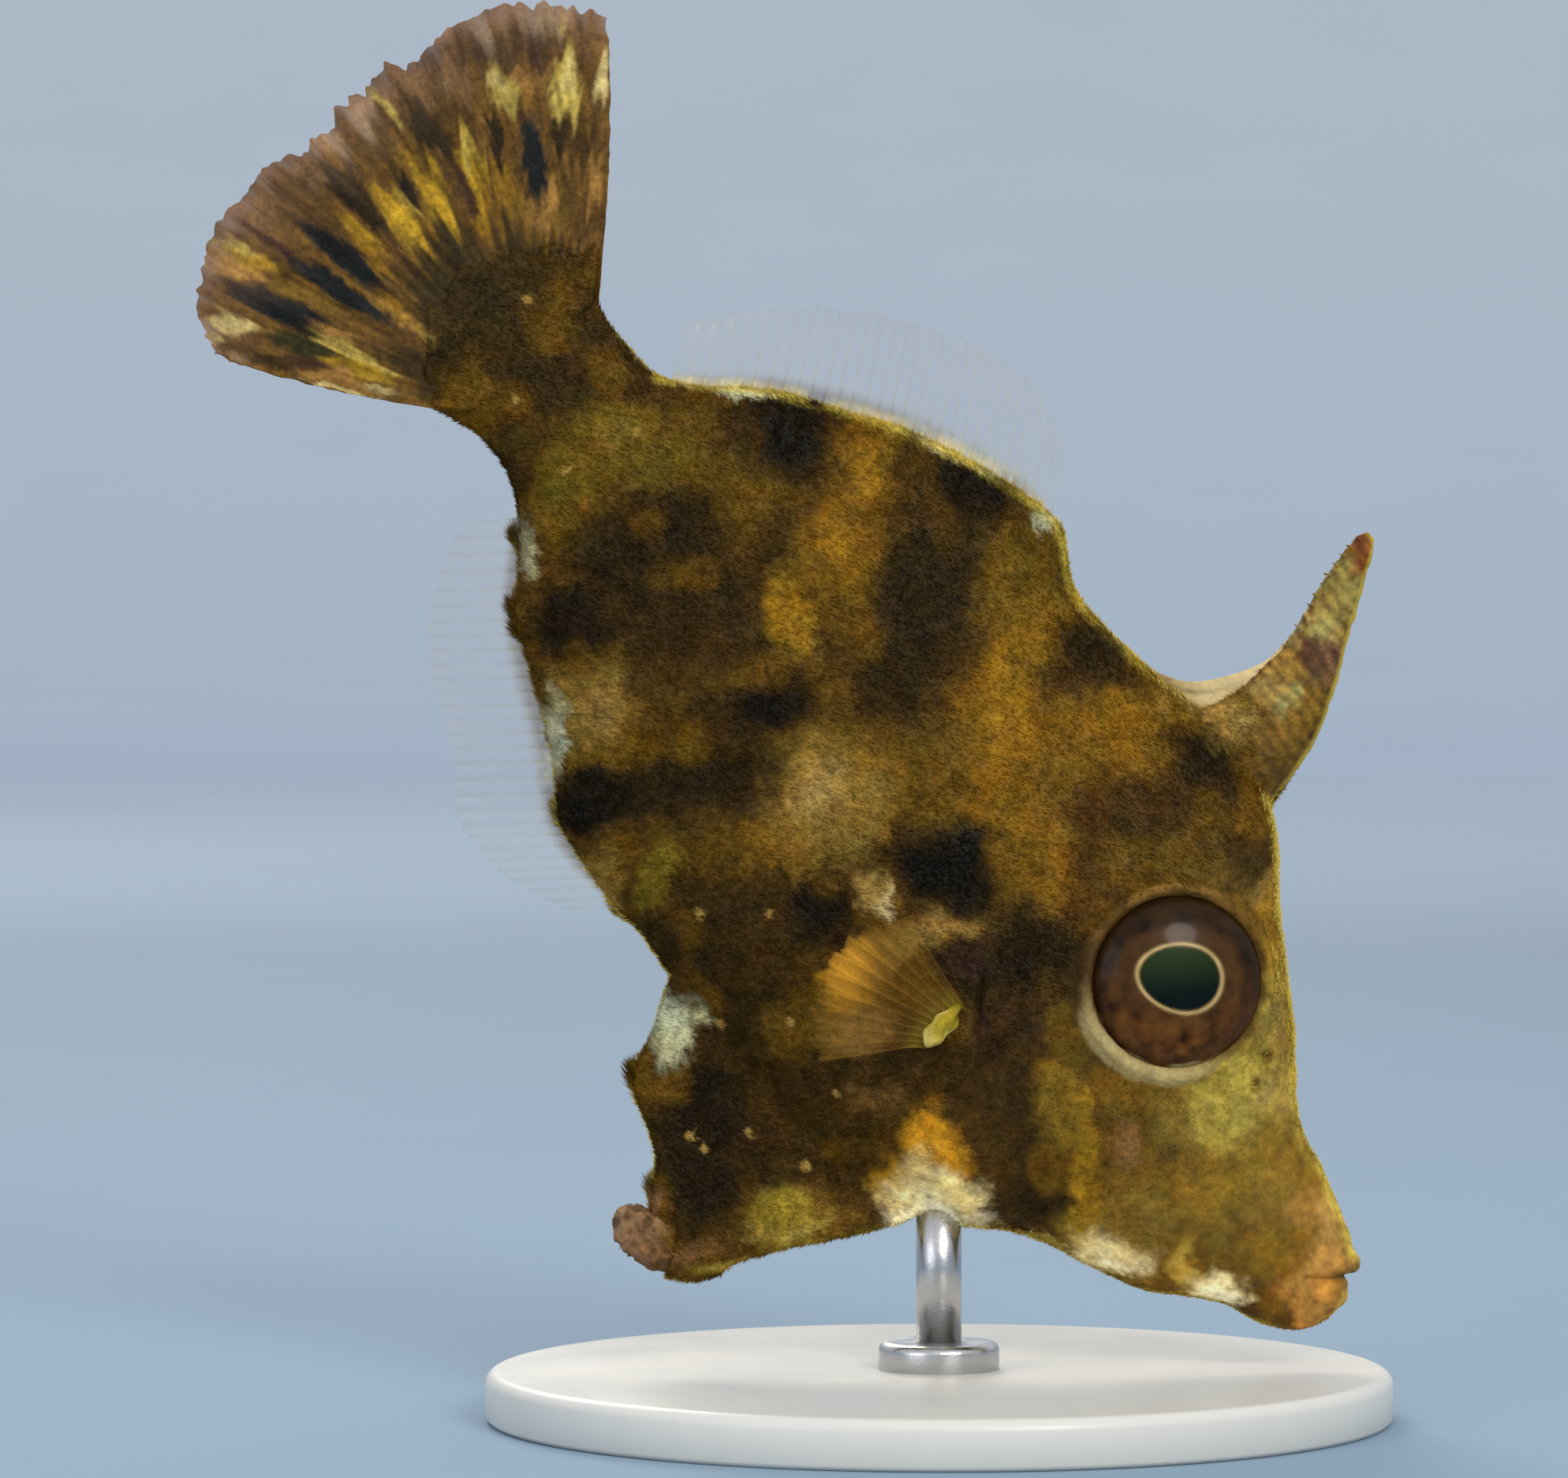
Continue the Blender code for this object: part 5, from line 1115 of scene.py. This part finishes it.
spine_h, spine_mid, spine_long, spine_wide = np.array(SPINE_SLICES).T
rear_line = np.stack([spine_h, spine_mid + spine_long], 1)
front_line = np.stack([spine_h, spine_mid - spine_long], 1)
level = np.linspace(spine_h[0] - 0.4, spine_h[-1], 90)[:, None]
turn = full_turn(40)
middle, long, wide = (curve(np.stack([spine_h, sizes], 1), level) for sizes in (spine_mid, spine_long, spine_wide))
y = wide * np.sin(turn) * (1 - 0.25 * np.cos(turn))
spine_forms = [tube(fish_point(middle + long * np.cos(turn), y, level + 0 * turn))]
for row in range(BARB_ROWS):
    level = BARB_SPAN[0] + (BARB_SPAN[1] - BARB_SPAN[0]) * row / (BARB_ROWS - 1)
    rear, front = curve(rear_line, level), curve(front_line, level)
    small = BARB_SIZES[row % len(BARB_SIZES)]
    for side in (-1, 1):
        tip = (-(rear + 0.2 * small), side * 0.34, level - 0.3 * small)
        spine_forms.append(spike((-(rear - 0.3), side * 0.2, level), tip, 0.13))
        tip = (-(front - 0.1), side * 0.28, level - 0.18)
        spine_forms.append(spike((-(front + 0.2), side * 0.2, level), tip, 0.08))
spine = melted(spine_forms, SPINE_VOXEL)
points = roughened(spine, 0.06, 0.38, 71)
rows = np.sin(math.tau * (points[:, 2] * 1.9 + noise(points, 1.0, 73) * 0.3))
colours = markings(points) * (1 + 0.22 * rows + 0.2 * noise(points, 0.3, 72))[:, None]
leading = soft_step(0.32, 0.06, -points[:, 0] - curve(front_line, points[:, 2]))
leading += 0.6 * soft_step(19.1, 19.4, points[:, 2])
brush(colours, linear((206, 172, 56)), np.minimum(leading, 1) * 0.8)
move_points(spine, in_row(points))
set_colour(spine, colours)
spine_finish = marked_finish("spine", cell=0.18, contrast=0.6, gloss=(0.45, 0.65), bump=0.9, fixed=waxy(0.15, 0.08))
add_piece("first_dorsal_spine", spine, spine_finish, "spine", "dorsal_spine")

u, v = grid(90, 70)
root, edge = along(WEB_ROOT, u[:, 0])[:, None], along(WEB_EDGE, u[:, 0])[:, None]
web = root + (edge - root) * v[..., None]
fold = 0.05 * np.sin(math.tau * (v * 3 + 0.5 * u)) * np.sin(math.pi * u) * np.sin(math.pi * v)
half = 0.1 + 0.14 * (1 - v) ** 2 - 0.06 * soft_step(0.92, 1.0, v)
points, faces = sheet(fish_point(web[..., 0], fold, web[..., 1]), half)
mesh = mesh_of("web", in_row(points), faces)
colours = linear((196, 174, 124)) * (1 + 0.2 * noise(points, 0.7, 74) + 0.15 * noise(points, 0.25, 75))[:, None]
brush(colours, markings(points), soft_step(10.4, 9.2, points[:, 2]) * 0.85)
set_colour(mesh, colours)
web_finish = marked_finish("web", cell=0.2, contrast=0.5, gloss=(0.4, 0.6), bump=0.6, fixed=waxy(0.2, 0.1))
add_piece("spine_web_skin", mesh, web_finish, "fin", "spine_web")


# Soft dorsal and anal fins: clear membranes over fine jointed rays, held up in a slow wave. The rays fork near the
# free edge, which is notched between them, and only the rays and a faint haze show against the water.
DORSAL_RAYS = 31
DORSAL_SPAN = (30.3, 44.3)
DORSAL_HEIGHT = ((0, 2.6), (0.12, 4.2), (0.35, 4.4), (0.7, 3.8), (1, 2.4))
ANAL_RAYS = 29
ANAL_SPAN = (29.9, 44.2)
ANAL_HEIGHT = ((0, 2.2), (0.15, 3.6), (0.4, 4.0), (0.75, 3.8), (1, 2.4))
FIN_LEAN = math.radians(42.0)
FIN_ROOT = 0.48
FIN_WAVE = 0.45
FIN_WAVES = 1.3
RAY_JOINTS = 26


def ray_ridges(u, v, rays, forks, thin=0.13):
    """1 on the line of a ray and 0 between two, where each ray forks at the given shares of its length."""
    off = u * (rays - 1) - np.round(u * (rays - 1))
    lines = [0 * off]
    for k, start in enumerate(forks):
        split = 0.25 / 2**k * soft_step(start, 1.15, v)
        lines = [line + sign * split for line in lines for sign in (-1, 1)]
    gap = np.min([np.abs(off - line) for line in lines], axis=0)
    return np.exp(-(gap / (thin * (1 - 0.3 * v))) ** 2)


def rayed_sheet(columns, rows, root, edge, bend, rays, forks, notch, membrane, ridge, root_half):
    """Points and faces of a rayed fin, with its (u, v) places and its ray ridges for each point. forks are the shares
    of a ray where it forks. notch, membrane, ridge and root_half are the edge's depth and the half thicknesses."""
    u, v = grid(columns, rows)
    crest = ray_ridges(u, v, rays, forks)
    between = 1 - ray_ridges(u, np.ones_like(v), rays, forks, 0.2)
    row = u * rays
    ragged = 1 + (streaks(row, 0, 0.7, 81) + 0.7 * streaks(row, 0, 0.27, 83) + 0.5 * streaks(row, 0, 0.12, 85))
    depth = 0.45 + 0.75 * soft_step(-0.5, 0.5, streaks(row, 0, 1.5, 87))
    reach = v * (1 - notch * v**3 * (0.1 * between + 0.85 * ragged * depth))
    a, b = root(u[:, 0])[:, None], edge(u[:, 0])[:, None]
    middle = a + (b - a) * reach[..., None] + bend(u, v)
    half = membrane + ridge * crest * (1 - 0.55 * v) + root_half * np.maximum(0, 1 - v / 0.22) ** 2
    points, faces = sheet(middle, half * (1 - 0.6 * soft_step(0.93, 1.0, v)))
    return points, faces, [np.tile(values.ravel(), 2) for values in (u, v, crest)]


def set_solidity(mesh, values):
    """Keeps a number for each point of a mesh, which its finish reads as how solid it is."""
    layer = mesh.attributes.new("Solidity", "FLOAT", "POINT")
    layer.data.foreach_set("value", values.astype(np.float32))


clear_finish = marked_finish("clear_fin", cell=0.2, contrast=0.4, gloss=(0.22, 0.4), bump=0.15, solidity=True)
for name, node, line, sign, span, height, rays, wave in (
    ("soft_dorsal", "soft_dorsal_fin", BACK_LINE, 1, DORSAL_SPAN, DORSAL_HEIGHT, DORSAL_RAYS, np.sin),
    ("anal", "anal_fin", BELLY_LINE, -1, ANAL_SPAN, ANAL_HEIGHT, ANAL_RAYS, np.cos),
):
    def root(u):
        s = span[0] + (span[1] - span[0]) * u
        return fish_point(s, 0, curve(line, s) - sign * FIN_ROOT)

    def edge(u):
        s = span[0] + (span[1] - span[0]) * u
        length = curve(height, u)
        return fish_point(s + length * math.sin(FIN_LEAN), 0, curve(line, s) + sign * length * math.cos(FIN_LEAN))

    def bend(u, v):
        pleat = 0.05 * np.cos(math.tau * u * (rays - 1)) * v
        return fish_point(0, FIN_WAVE * v * v * wave(math.tau * FIN_WAVES * u) + pleat, 0)

    columns = (rays - 1) * 10 + 1
    points, faces, (u, v, crest) = rayed_sheet(
        columns, 50, root, edge, bend, rays, forks=(0.62,), notch=0.03, membrane=0.025, ridge=0.045, root_half=0.22)
    mesh = mesh_of(name, in_row(points), faces)
    root_cover = soft_step(0.3, 0.12, v)
    colours = linear((176, 164, 140)) * (1 + 0.1 * noise(points, 0.6, 82))[:, None]
    brush(colours, markings(points), root_cover * 0.8)
    set_colour(mesh, colours)
    jointed = 0.85 + 0.15 * np.sin(math.tau * v * RAY_JOINTS)
    set_solidity(mesh, np.clip(0.035 + 0.2 * crest * jointed * (1 - 0.35 * v) + 0.35 * root_cover, 0, 1))
    add_piece(name + "_membrane", mesh, clear_finish, "fin", node)


# Tail fin: a broad fan of twelve rays that fork twice, over a membrane streaked with dark and golden lozenges that run
# along the rays and end unevenly. Its root is clasped by the tail stalk and its free edge is ragged.
points, faces, (u, v, crest) = rayed_sheet(309, 130, tail_root, tail_edge, tail_bend, CAUDAL_RAYS, forks=(0.3, 0.62),
                                           notch=0.042, membrane=0.05, ridge=0.06, root_half=0.35)
colours = tail_markings(points)
streak = streaks(u * 80, v * 6, 1.0, 91) + 0.6 * streaks(u * 190, v * 9, 1.0, 92)
colours *= (1 + (0.34 * streak + 0.28 * (crest - 0.4)) * soft_step(0.2, 0.45, v))[:, None]
colours *= (1 + 0.3 * noise(points, 0.3, 93) + 0.3 * noise(points, 0.15, 98))[:, None]
brush(colours, linear((126, 96, 76)), soft_step(0.7, 0.92, v + 0.07 * streak) * 0.2)
pale = soft_step(0.1, 0.6, streaks(u * 30, v * 5, 1.0, 95)) * soft_step(0.82, 0.95, v + 0.05 * streak)
brush(colours, linear((196, 168, 134)), pale * 0.4)
tips = soft_step(0.9, 1.0, v + 0.04 * streak)
brush(colours, linear((150, 112, 84)) * (1 + 0.6 * noise(points, 0.9, 94))[:, None], tips * 0.55)
mesh = mesh_of("tail", in_row(points), faces)
set_colour(mesh, colours)
set_solidity(mesh, np.clip(1.1 - 0.3 * tips - 0.15 * soft_step(0.7, 0.9, v) * (1 - crest), 0, 1))
tail_finish = marked_finish("tail_fin", cell=0.16, contrast=0.6, gloss=(0.45, 0.65), bump=0.5,
                            fixed={"Specular IOR Level": 0.12}, solidity=True)
add_piece("tail_fin", mesh, tail_finish, "tail", "caudal_fin")


# Pectoral fins: a short fleshy base behind each gill slit carries a small ochre fan of eleven fine rays, which is thin
# enough for light to pass. The base is yellow green with a cream edge.
PECTORAL_RAYS = 11
PECTORAL_ROOT = ((18.5, -4.9), (18.3, -7.1))
PECTORAL_EDGE = ((22.7, -4.2), (23.7, -6.1), (23.3, -8.3), (22.1, -9.8), (20.6, -10.6))
PECTORAL_FLARE = 1.9
PECTORAL_CUP = 0.35
LOBE_AT = (18.4, -6.05)
LOBE_RADII = (0.46, 0.42, 1.08)
LOBE_TILT = math.radians(9)
pectoral_finish = marked_finish("pectoral_fin", cell=0.14, contrast=0.5, gloss=(0.4, 0.6), bump=0.3,
                                fixed=waxy(0.12, 0.12), solidity=True)
for side_name, side in (("right", -1), ("left", 1)):
    def root(u):
        s, h = along(PECTORAL_ROOT, u).T
        return fish_point(s, side * (flank(s, h) - 0.15), h)

    def edge(u):
        s, h = along(PECTORAL_EDGE, u).T
        return fish_point(s, side * (flank(*PECTORAL_ROOT[0]) + PECTORAL_FLARE), h)

    def bend(u, v):
        pleat = 0.05 * np.cos(math.tau * u * (PECTORAL_RAYS - 1)) * v
        return fish_point(0, side * (PECTORAL_CUP * np.sin(math.pi * u) * v + pleat), 0)

    points, faces, (u, v, crest) = rayed_sheet(
        161, 70, root, edge, bend, PECTORAL_RAYS, forks=(0.5,), notch=0.05, membrane=0.03, ridge=0.035, root_half=0.2)
    colours = markings(points * (1, -1, 1) if side > 0 else points)
    brush(colours, linear((150, 108, 42)), 0.45)
    glow = np.exp(-(((u - 0.42) / 0.2) ** 2 + ((v - 0.86) / 0.22) ** 2))
    brush(colours, linear((224, 160, 52)), glow * 0.85)
    brush(colours, linear((150, 126, 44)), soft_step(0.25, 0.08, v) * 0.7)
    colours *= (0.92 + 0.16 * crest)[:, None]
    fan = np.clip(0.14 + 0.2 * crest * (1 - 0.3 * v) + 0.45 * glow + 0.3 * soft_step(0.3, 0.08, v), 0, 1)
    fan *= soft_step(1.02, 0.9, v + 0.06 * noise(points, 0.3, 105))

    turn, swing = full_turn(48), (0.02 + (math.pi - 0.04) * np.linspace(0, 1, 40))[:, None]
    (s, h), (a, b, c) = LOBE_AT, LOBE_RADII
    x, z = a * np.sin(swing) * np.cos(turn), c * np.cos(swing) + 0 * turn
    y = side * (flank(s, h) + 0.1 + b * np.sin(swing) * np.sin(turn))
    lobe = fish_point(s - (x * math.cos(LOBE_TILT) - z * math.sin(LOBE_TILT)), y,
                      h + x * math.sin(LOBE_TILT) + z * math.cos(LOBE_TILT))
    lobe_points, *lobe_faces = tube(lobe)
    lobe_points += (noise(lobe_points, 0.45, 102) * 0.17)[:, None] * np.array([1, side, 0.4])
    lobe_colours = linear((156, 136, 38)) * (1 + 0.35 * noise(lobe_points, 0.35, 103))[:, None]
    side_edge = soft_step(0.5, 0.9, np.abs(np.append(np.cos(turn + 0 * swing).ravel(), (0, 0))))
    brush(lobe_colours, linear((206, 186, 104)), soft_step(-0.1, -0.8, (lobe_points[:, 2] - h) / c) * 0.7)
    side_edge *= 0.75 * soft_step(-0.3, 0.2, noise(lobe_points, 0.6, 104))
    brush(lobe_colours, linear((222, 204, 120)), side_edge)
    brush(lobe_colours, linear((96, 84, 26)), soft_step(0.1, 0.6, noise(lobe_points, 0.5, 106)) * 0.6)

    lobe_faces = [group + len(points) for group in facing_out(lobe_points, lobe_faces)]
    both = in_row(np.concatenate([points, lobe_points]))
    mesh = mesh_of("pectoral_" + side_name, both, *facing_out(points, [faces]), *lobe_faces)
    set_colour(mesh, np.concatenate([colours, lobe_colours]))
    set_solidity(mesh, np.append(fan, np.ones(len(lobe_points))))
    add_piece("pectoral_" + side_name, mesh, pectoral_finish, "fin", "pectoral_fin_" + side_name)


# Pelvic knob: a blunt, curved finger of fused scales at the tip of the pelvis, set with short stubby spines. Its root
# is let into the skin of the flap.
KNOB_SPINES = 60
KNOB_SPINES_START = 0.46
KNOB_SPINES_RUN = 0.38
KNOB_TIP = (20.55, -20.6)
KNOB_TIP_SPINES = 9
KNOB_VOXEL = 0.055
knob_forms = [knob_form(0.3, 1, 0)]
for k in range(KNOB_SPINES):
    share = KNOB_SPINES_START + KNOB_SPINES_RUN * k / KNOB_SPINES
    s, h = along(KNOB_LINE, np.array([share]))[0]
    skin_at = float(np.interp(share, np.linspace(0, 1, len(KNOB_RADII)), KNOB_RADII))
    out = np.array([0, math.sin(2.4 * k), -math.cos(2.4 * k)])
    foot = fish_point(s, 0, h) + out * (skin_at * 0.85 - 0.15)
    knob_forms.append(spike(foot, foot + out * 0.42 + np.array([-0.2, 0, -0.03]), 0.19))
for k in range(KNOB_TIP_SPINES):
    out = np.array([-0.85, 0.45 * math.sin(0.7 * k), 0.45 * math.cos(0.7 * k)])
    foot = fish_point(KNOB_TIP[0], 0, KNOB_TIP[1]) + out * 0.4
    knob_forms.append(spike(foot, foot + out * 0.26, 0.12))
knob = melted(knob_forms, KNOB_VOXEL)
points = roughened(knob, 0.09, 0.3, 111)
inner = soft_step(20.9, 18.3, -points[:, 0] + 0.9 * noise(points, 0.6, 115))[:, None]
colours = linear((128, 98, 68)) * (1 - inner) + markings(points) * inner
colours *= (1 + 0.35 * noise(points, 0.5, 112) + 0.3 * noise(points, 0.2, 116))[:, None]
brush(colours, linear((176, 142, 110)), soft_step(0.0, 0.6, noise(points, 0.8, 113)) * 0.35 * (1 - inner[:, 0]))
brush(colours, linear((82, 58, 34)), soft_step(0.0, 0.5, noise(points, 0.45, 114)) * 0.85)
move_points(knob, in_row(points))
set_colour(knob, colours)
knob_finish = marked_finish("knob", cell=0.16, contrast=0.6, gloss=(0.45, 0.65), bump=0.8, fixed=waxy(0.15, 0.08))
add_piece("pelvic_knob_scales", knob, knob_finish, "knob", "pelvic_knob")


# Stand: a turned steel disc painted satin off-white, with a bright steel collar pressed into it and a short steel rod
# that runs from the collar into the throat of the fish.
BASE_RADIUS = 18.0
BOSS_RADIUS = 2.4
BOSS_TOP = 3.1
ROD_RADIUS = 0.9
ROD_REACH = 2.0
SEAT = 0.1


def turned(profile, around):
    """Points and faces of a solid turned round the upright axis from its (radius, height) profile."""
    r, z = np.array(profile, float).T[..., None]
    turn = full_turn(around)
    return tube(np.stack([r * np.cos(turn), r * np.sin(turn), z + 0 * turn], -1))


def rounded(radius, foot, top, edge, foot_edge):
    """Profile of a disc with a small chamfer at its foot and a round edge at its top."""
    turns = np.linspace(0, math.pi / 2, 12)
    upper = [(radius - edge + edge * math.cos(t), top - edge + edge * math.sin(t)) for t in turns]
    return [(radius - foot_edge, foot), (radius, foot + foot_edge)] + upper + [(radius * 0.6, top), (radius * 0.2, top)]


paint = marked_finish("satin_paint", cell=0.9, contrast=0.05, gloss=(0.3, 0.42), bump=0.06,
                      fixed={"Metallic": 0.0}, tone=(214, 212, 205))
steel = marked_finish("brushed_steel", cell=0.12, contrast=0.12, gloss=(0.22, 0.36), bump=0.08,
                      fixed={"Metallic": 1.0}, tone=(190, 190, 192))
rod_top = (TURN @ fish_point(ROD_AT, 0, curve(BELLY_LINE, ROD_AT) + ROD_REACH) + SHIFT)[2]
collar = rounded(BOSS_RADIUS, BASE_THICKNESS - SEAT, BOSS_TOP, 0.35, 0.02)
post = [(ROD_RADIUS, BOSS_TOP - SEAT), (ROD_RADIUS, rod_top)]
for name, profile, around, finish, slot, node in (
    ("stand_disc", rounded(BASE_RADIUS, 0, BASE_THICKNESS, 0.5, 0.2), 256, paint, "base", "stand_base"),
    ("stand_collar", collar, 128, steel, "steel", "stand_boss"),
    ("stand_post", post, 64, steel, "steel", "stand_rod"),
):
    points, *faces = turned(profile, around)
    add_piece(name, mesh_of(name, points * MM, *faces), finish, slot, node)


# Studio: a graduated pale sweep of paper that curves up behind and around the stand, its grading a painted shade and
# light that runs darker over the floor and lighter up the wall, three soft lamps, and a long lens level with the fish
# as in the photograph.
FLOOR_REACH = 0.7
FLOOR_DROP = 0.00002
SWEEP_RADIUS = 1.2
# Tones of the paper by metres along the sweep from the stand: a painted shade and light, darker over the floor and
# lighter up the wall.
PAPER_TONES = (
    (0.0, (141, 164, 184)), (0.32, (129, 145, 162)), (0.7, (180, 196, 213)), (0.9, (187, 201, 216)),
    (1.3, (197, 206, 216)),
)
CAMERA_TARGET = (-0.00615, 0.0, 0.02703)
FRAME_WIDTH = 0.062125
LENS = 200.0
SENSOR = 36.0
CAMERA_LIFT = math.radians(2.0)


def place_in_studio(name, data):
    """Object of the studio, which isn't part of the model."""
    made = bpy.data.objects.new(name, data)
    bpy.context.scene.collection.objects.link(made)
    return made


def soft_lamp(name, place, size, power, tone):
    """Round studio lamp that points at the fish."""
    light = bpy.data.lights.new(name, "AREA")
    light.shape = "DISK"
    light.size = size
    light.energy = power
    light.color = tuple(linear(tone))
    lamp = place_in_studio(name, light)
    lamp.location = place
    aim = np.array(place) - CAMERA_TARGET
    lamp.rotation_euler = (math.atan2(math.hypot(aim[0], aim[1]), aim[2]), 0, math.atan2(aim[0], -aim[1]))


flat_part, turns = np.linspace(0.01, FLOOR_REACH, 24), np.linspace(0, math.radians(50), 24)[1:]
r = np.append(flat_part, FLOOR_REACH + SWEEP_RADIUS * np.sin(turns))[:, None]
z = np.append(0 * flat_part, SWEEP_RADIUS * (1 - np.cos(turns)))[:, None] - FLOOR_DROP
turn = full_turn(96)
rings = np.stack([r * np.cos(turn), r * np.sin(turn), z + 0 * turn], -1)
count, around = rings.shape[:2]
index = np.arange(count * around).reshape(count, around)
aside = np.roll(index, -1, 1)
quads = np.stack([index[:-1], aside[:-1], aside[1:], index[1:]], -1).reshape(-1, 4)
sweep = bpy.data.meshes.new("sweep")
sweep.from_pydata(rings.reshape(-1, 3), [], quads.tolist() + [index[0].tolist()])
sweep.shade_smooth()
# Painted shade and light: the paper's tones are set darker over the floor and lighter up the wall, to even out how the
# lamps light it.
place_along = np.append(flat_part, FLOOR_REACH + SWEEP_RADIUS * turns)
places, tones = zip(*PAPER_TONES)
paper = np.stack([np.interp(place_along, places, channel) for channel in zip(*tones)], 1)
set_colour(sweep, np.repeat(linear(paper), around, axis=0))
sweep.materials.append(marked_finish("sweep_paper", cell=30.0, contrast=0.04, gloss=(0.75, 0.9), bump=0.02,
                                     fixed={"Specular IOR Level": 0.1}))
place_in_studio("sweep", sweep)
soft_lamp("key_lamp", place=(0.22, -0.5, 0.28), size=0.22, power=1.9, tone=(255, 249, 238))
soft_lamp("fill_lamp", place=(-0.42, -0.42, 0.1), size=0.4, power=0.8, tone=(250, 250, 255))
soft_lamp("back_lamp", place=(-0.12, 0.42, 0.34), size=0.25, power=1.2, tone=(255, 246, 230))
world = bpy.data.worlds.new("studio_air")
bpy.context.scene.world = world
world.use_nodes = True
air = world.node_tree.nodes["Background"]
air.inputs["Color"].default_value = (0.93, 0.96, 1.0, 1)
air.inputs["Strength"].default_value = 0.8
camera_data = bpy.data.cameras.new("camera")
camera_data.lens = LENS
camera_data.sensor_width = SENSOR
camera_data.clip_start = 0.01
camera_data.clip_end = 20.0
camera = place_in_studio("camera", camera_data)
distance = FRAME_WIDTH / SENSOR * LENS
camera.location = np.array(CAMERA_TARGET) + distance * np.array([0, -math.cos(CAMERA_LIFT), math.sin(CAMERA_LIFT)])
camera.rotation_euler = (math.pi / 2 - CAMERA_LIFT, 0, 0)
bpy.context.scene.camera = camera
bpy.context.scene.view_settings.view_transform = "Standard"
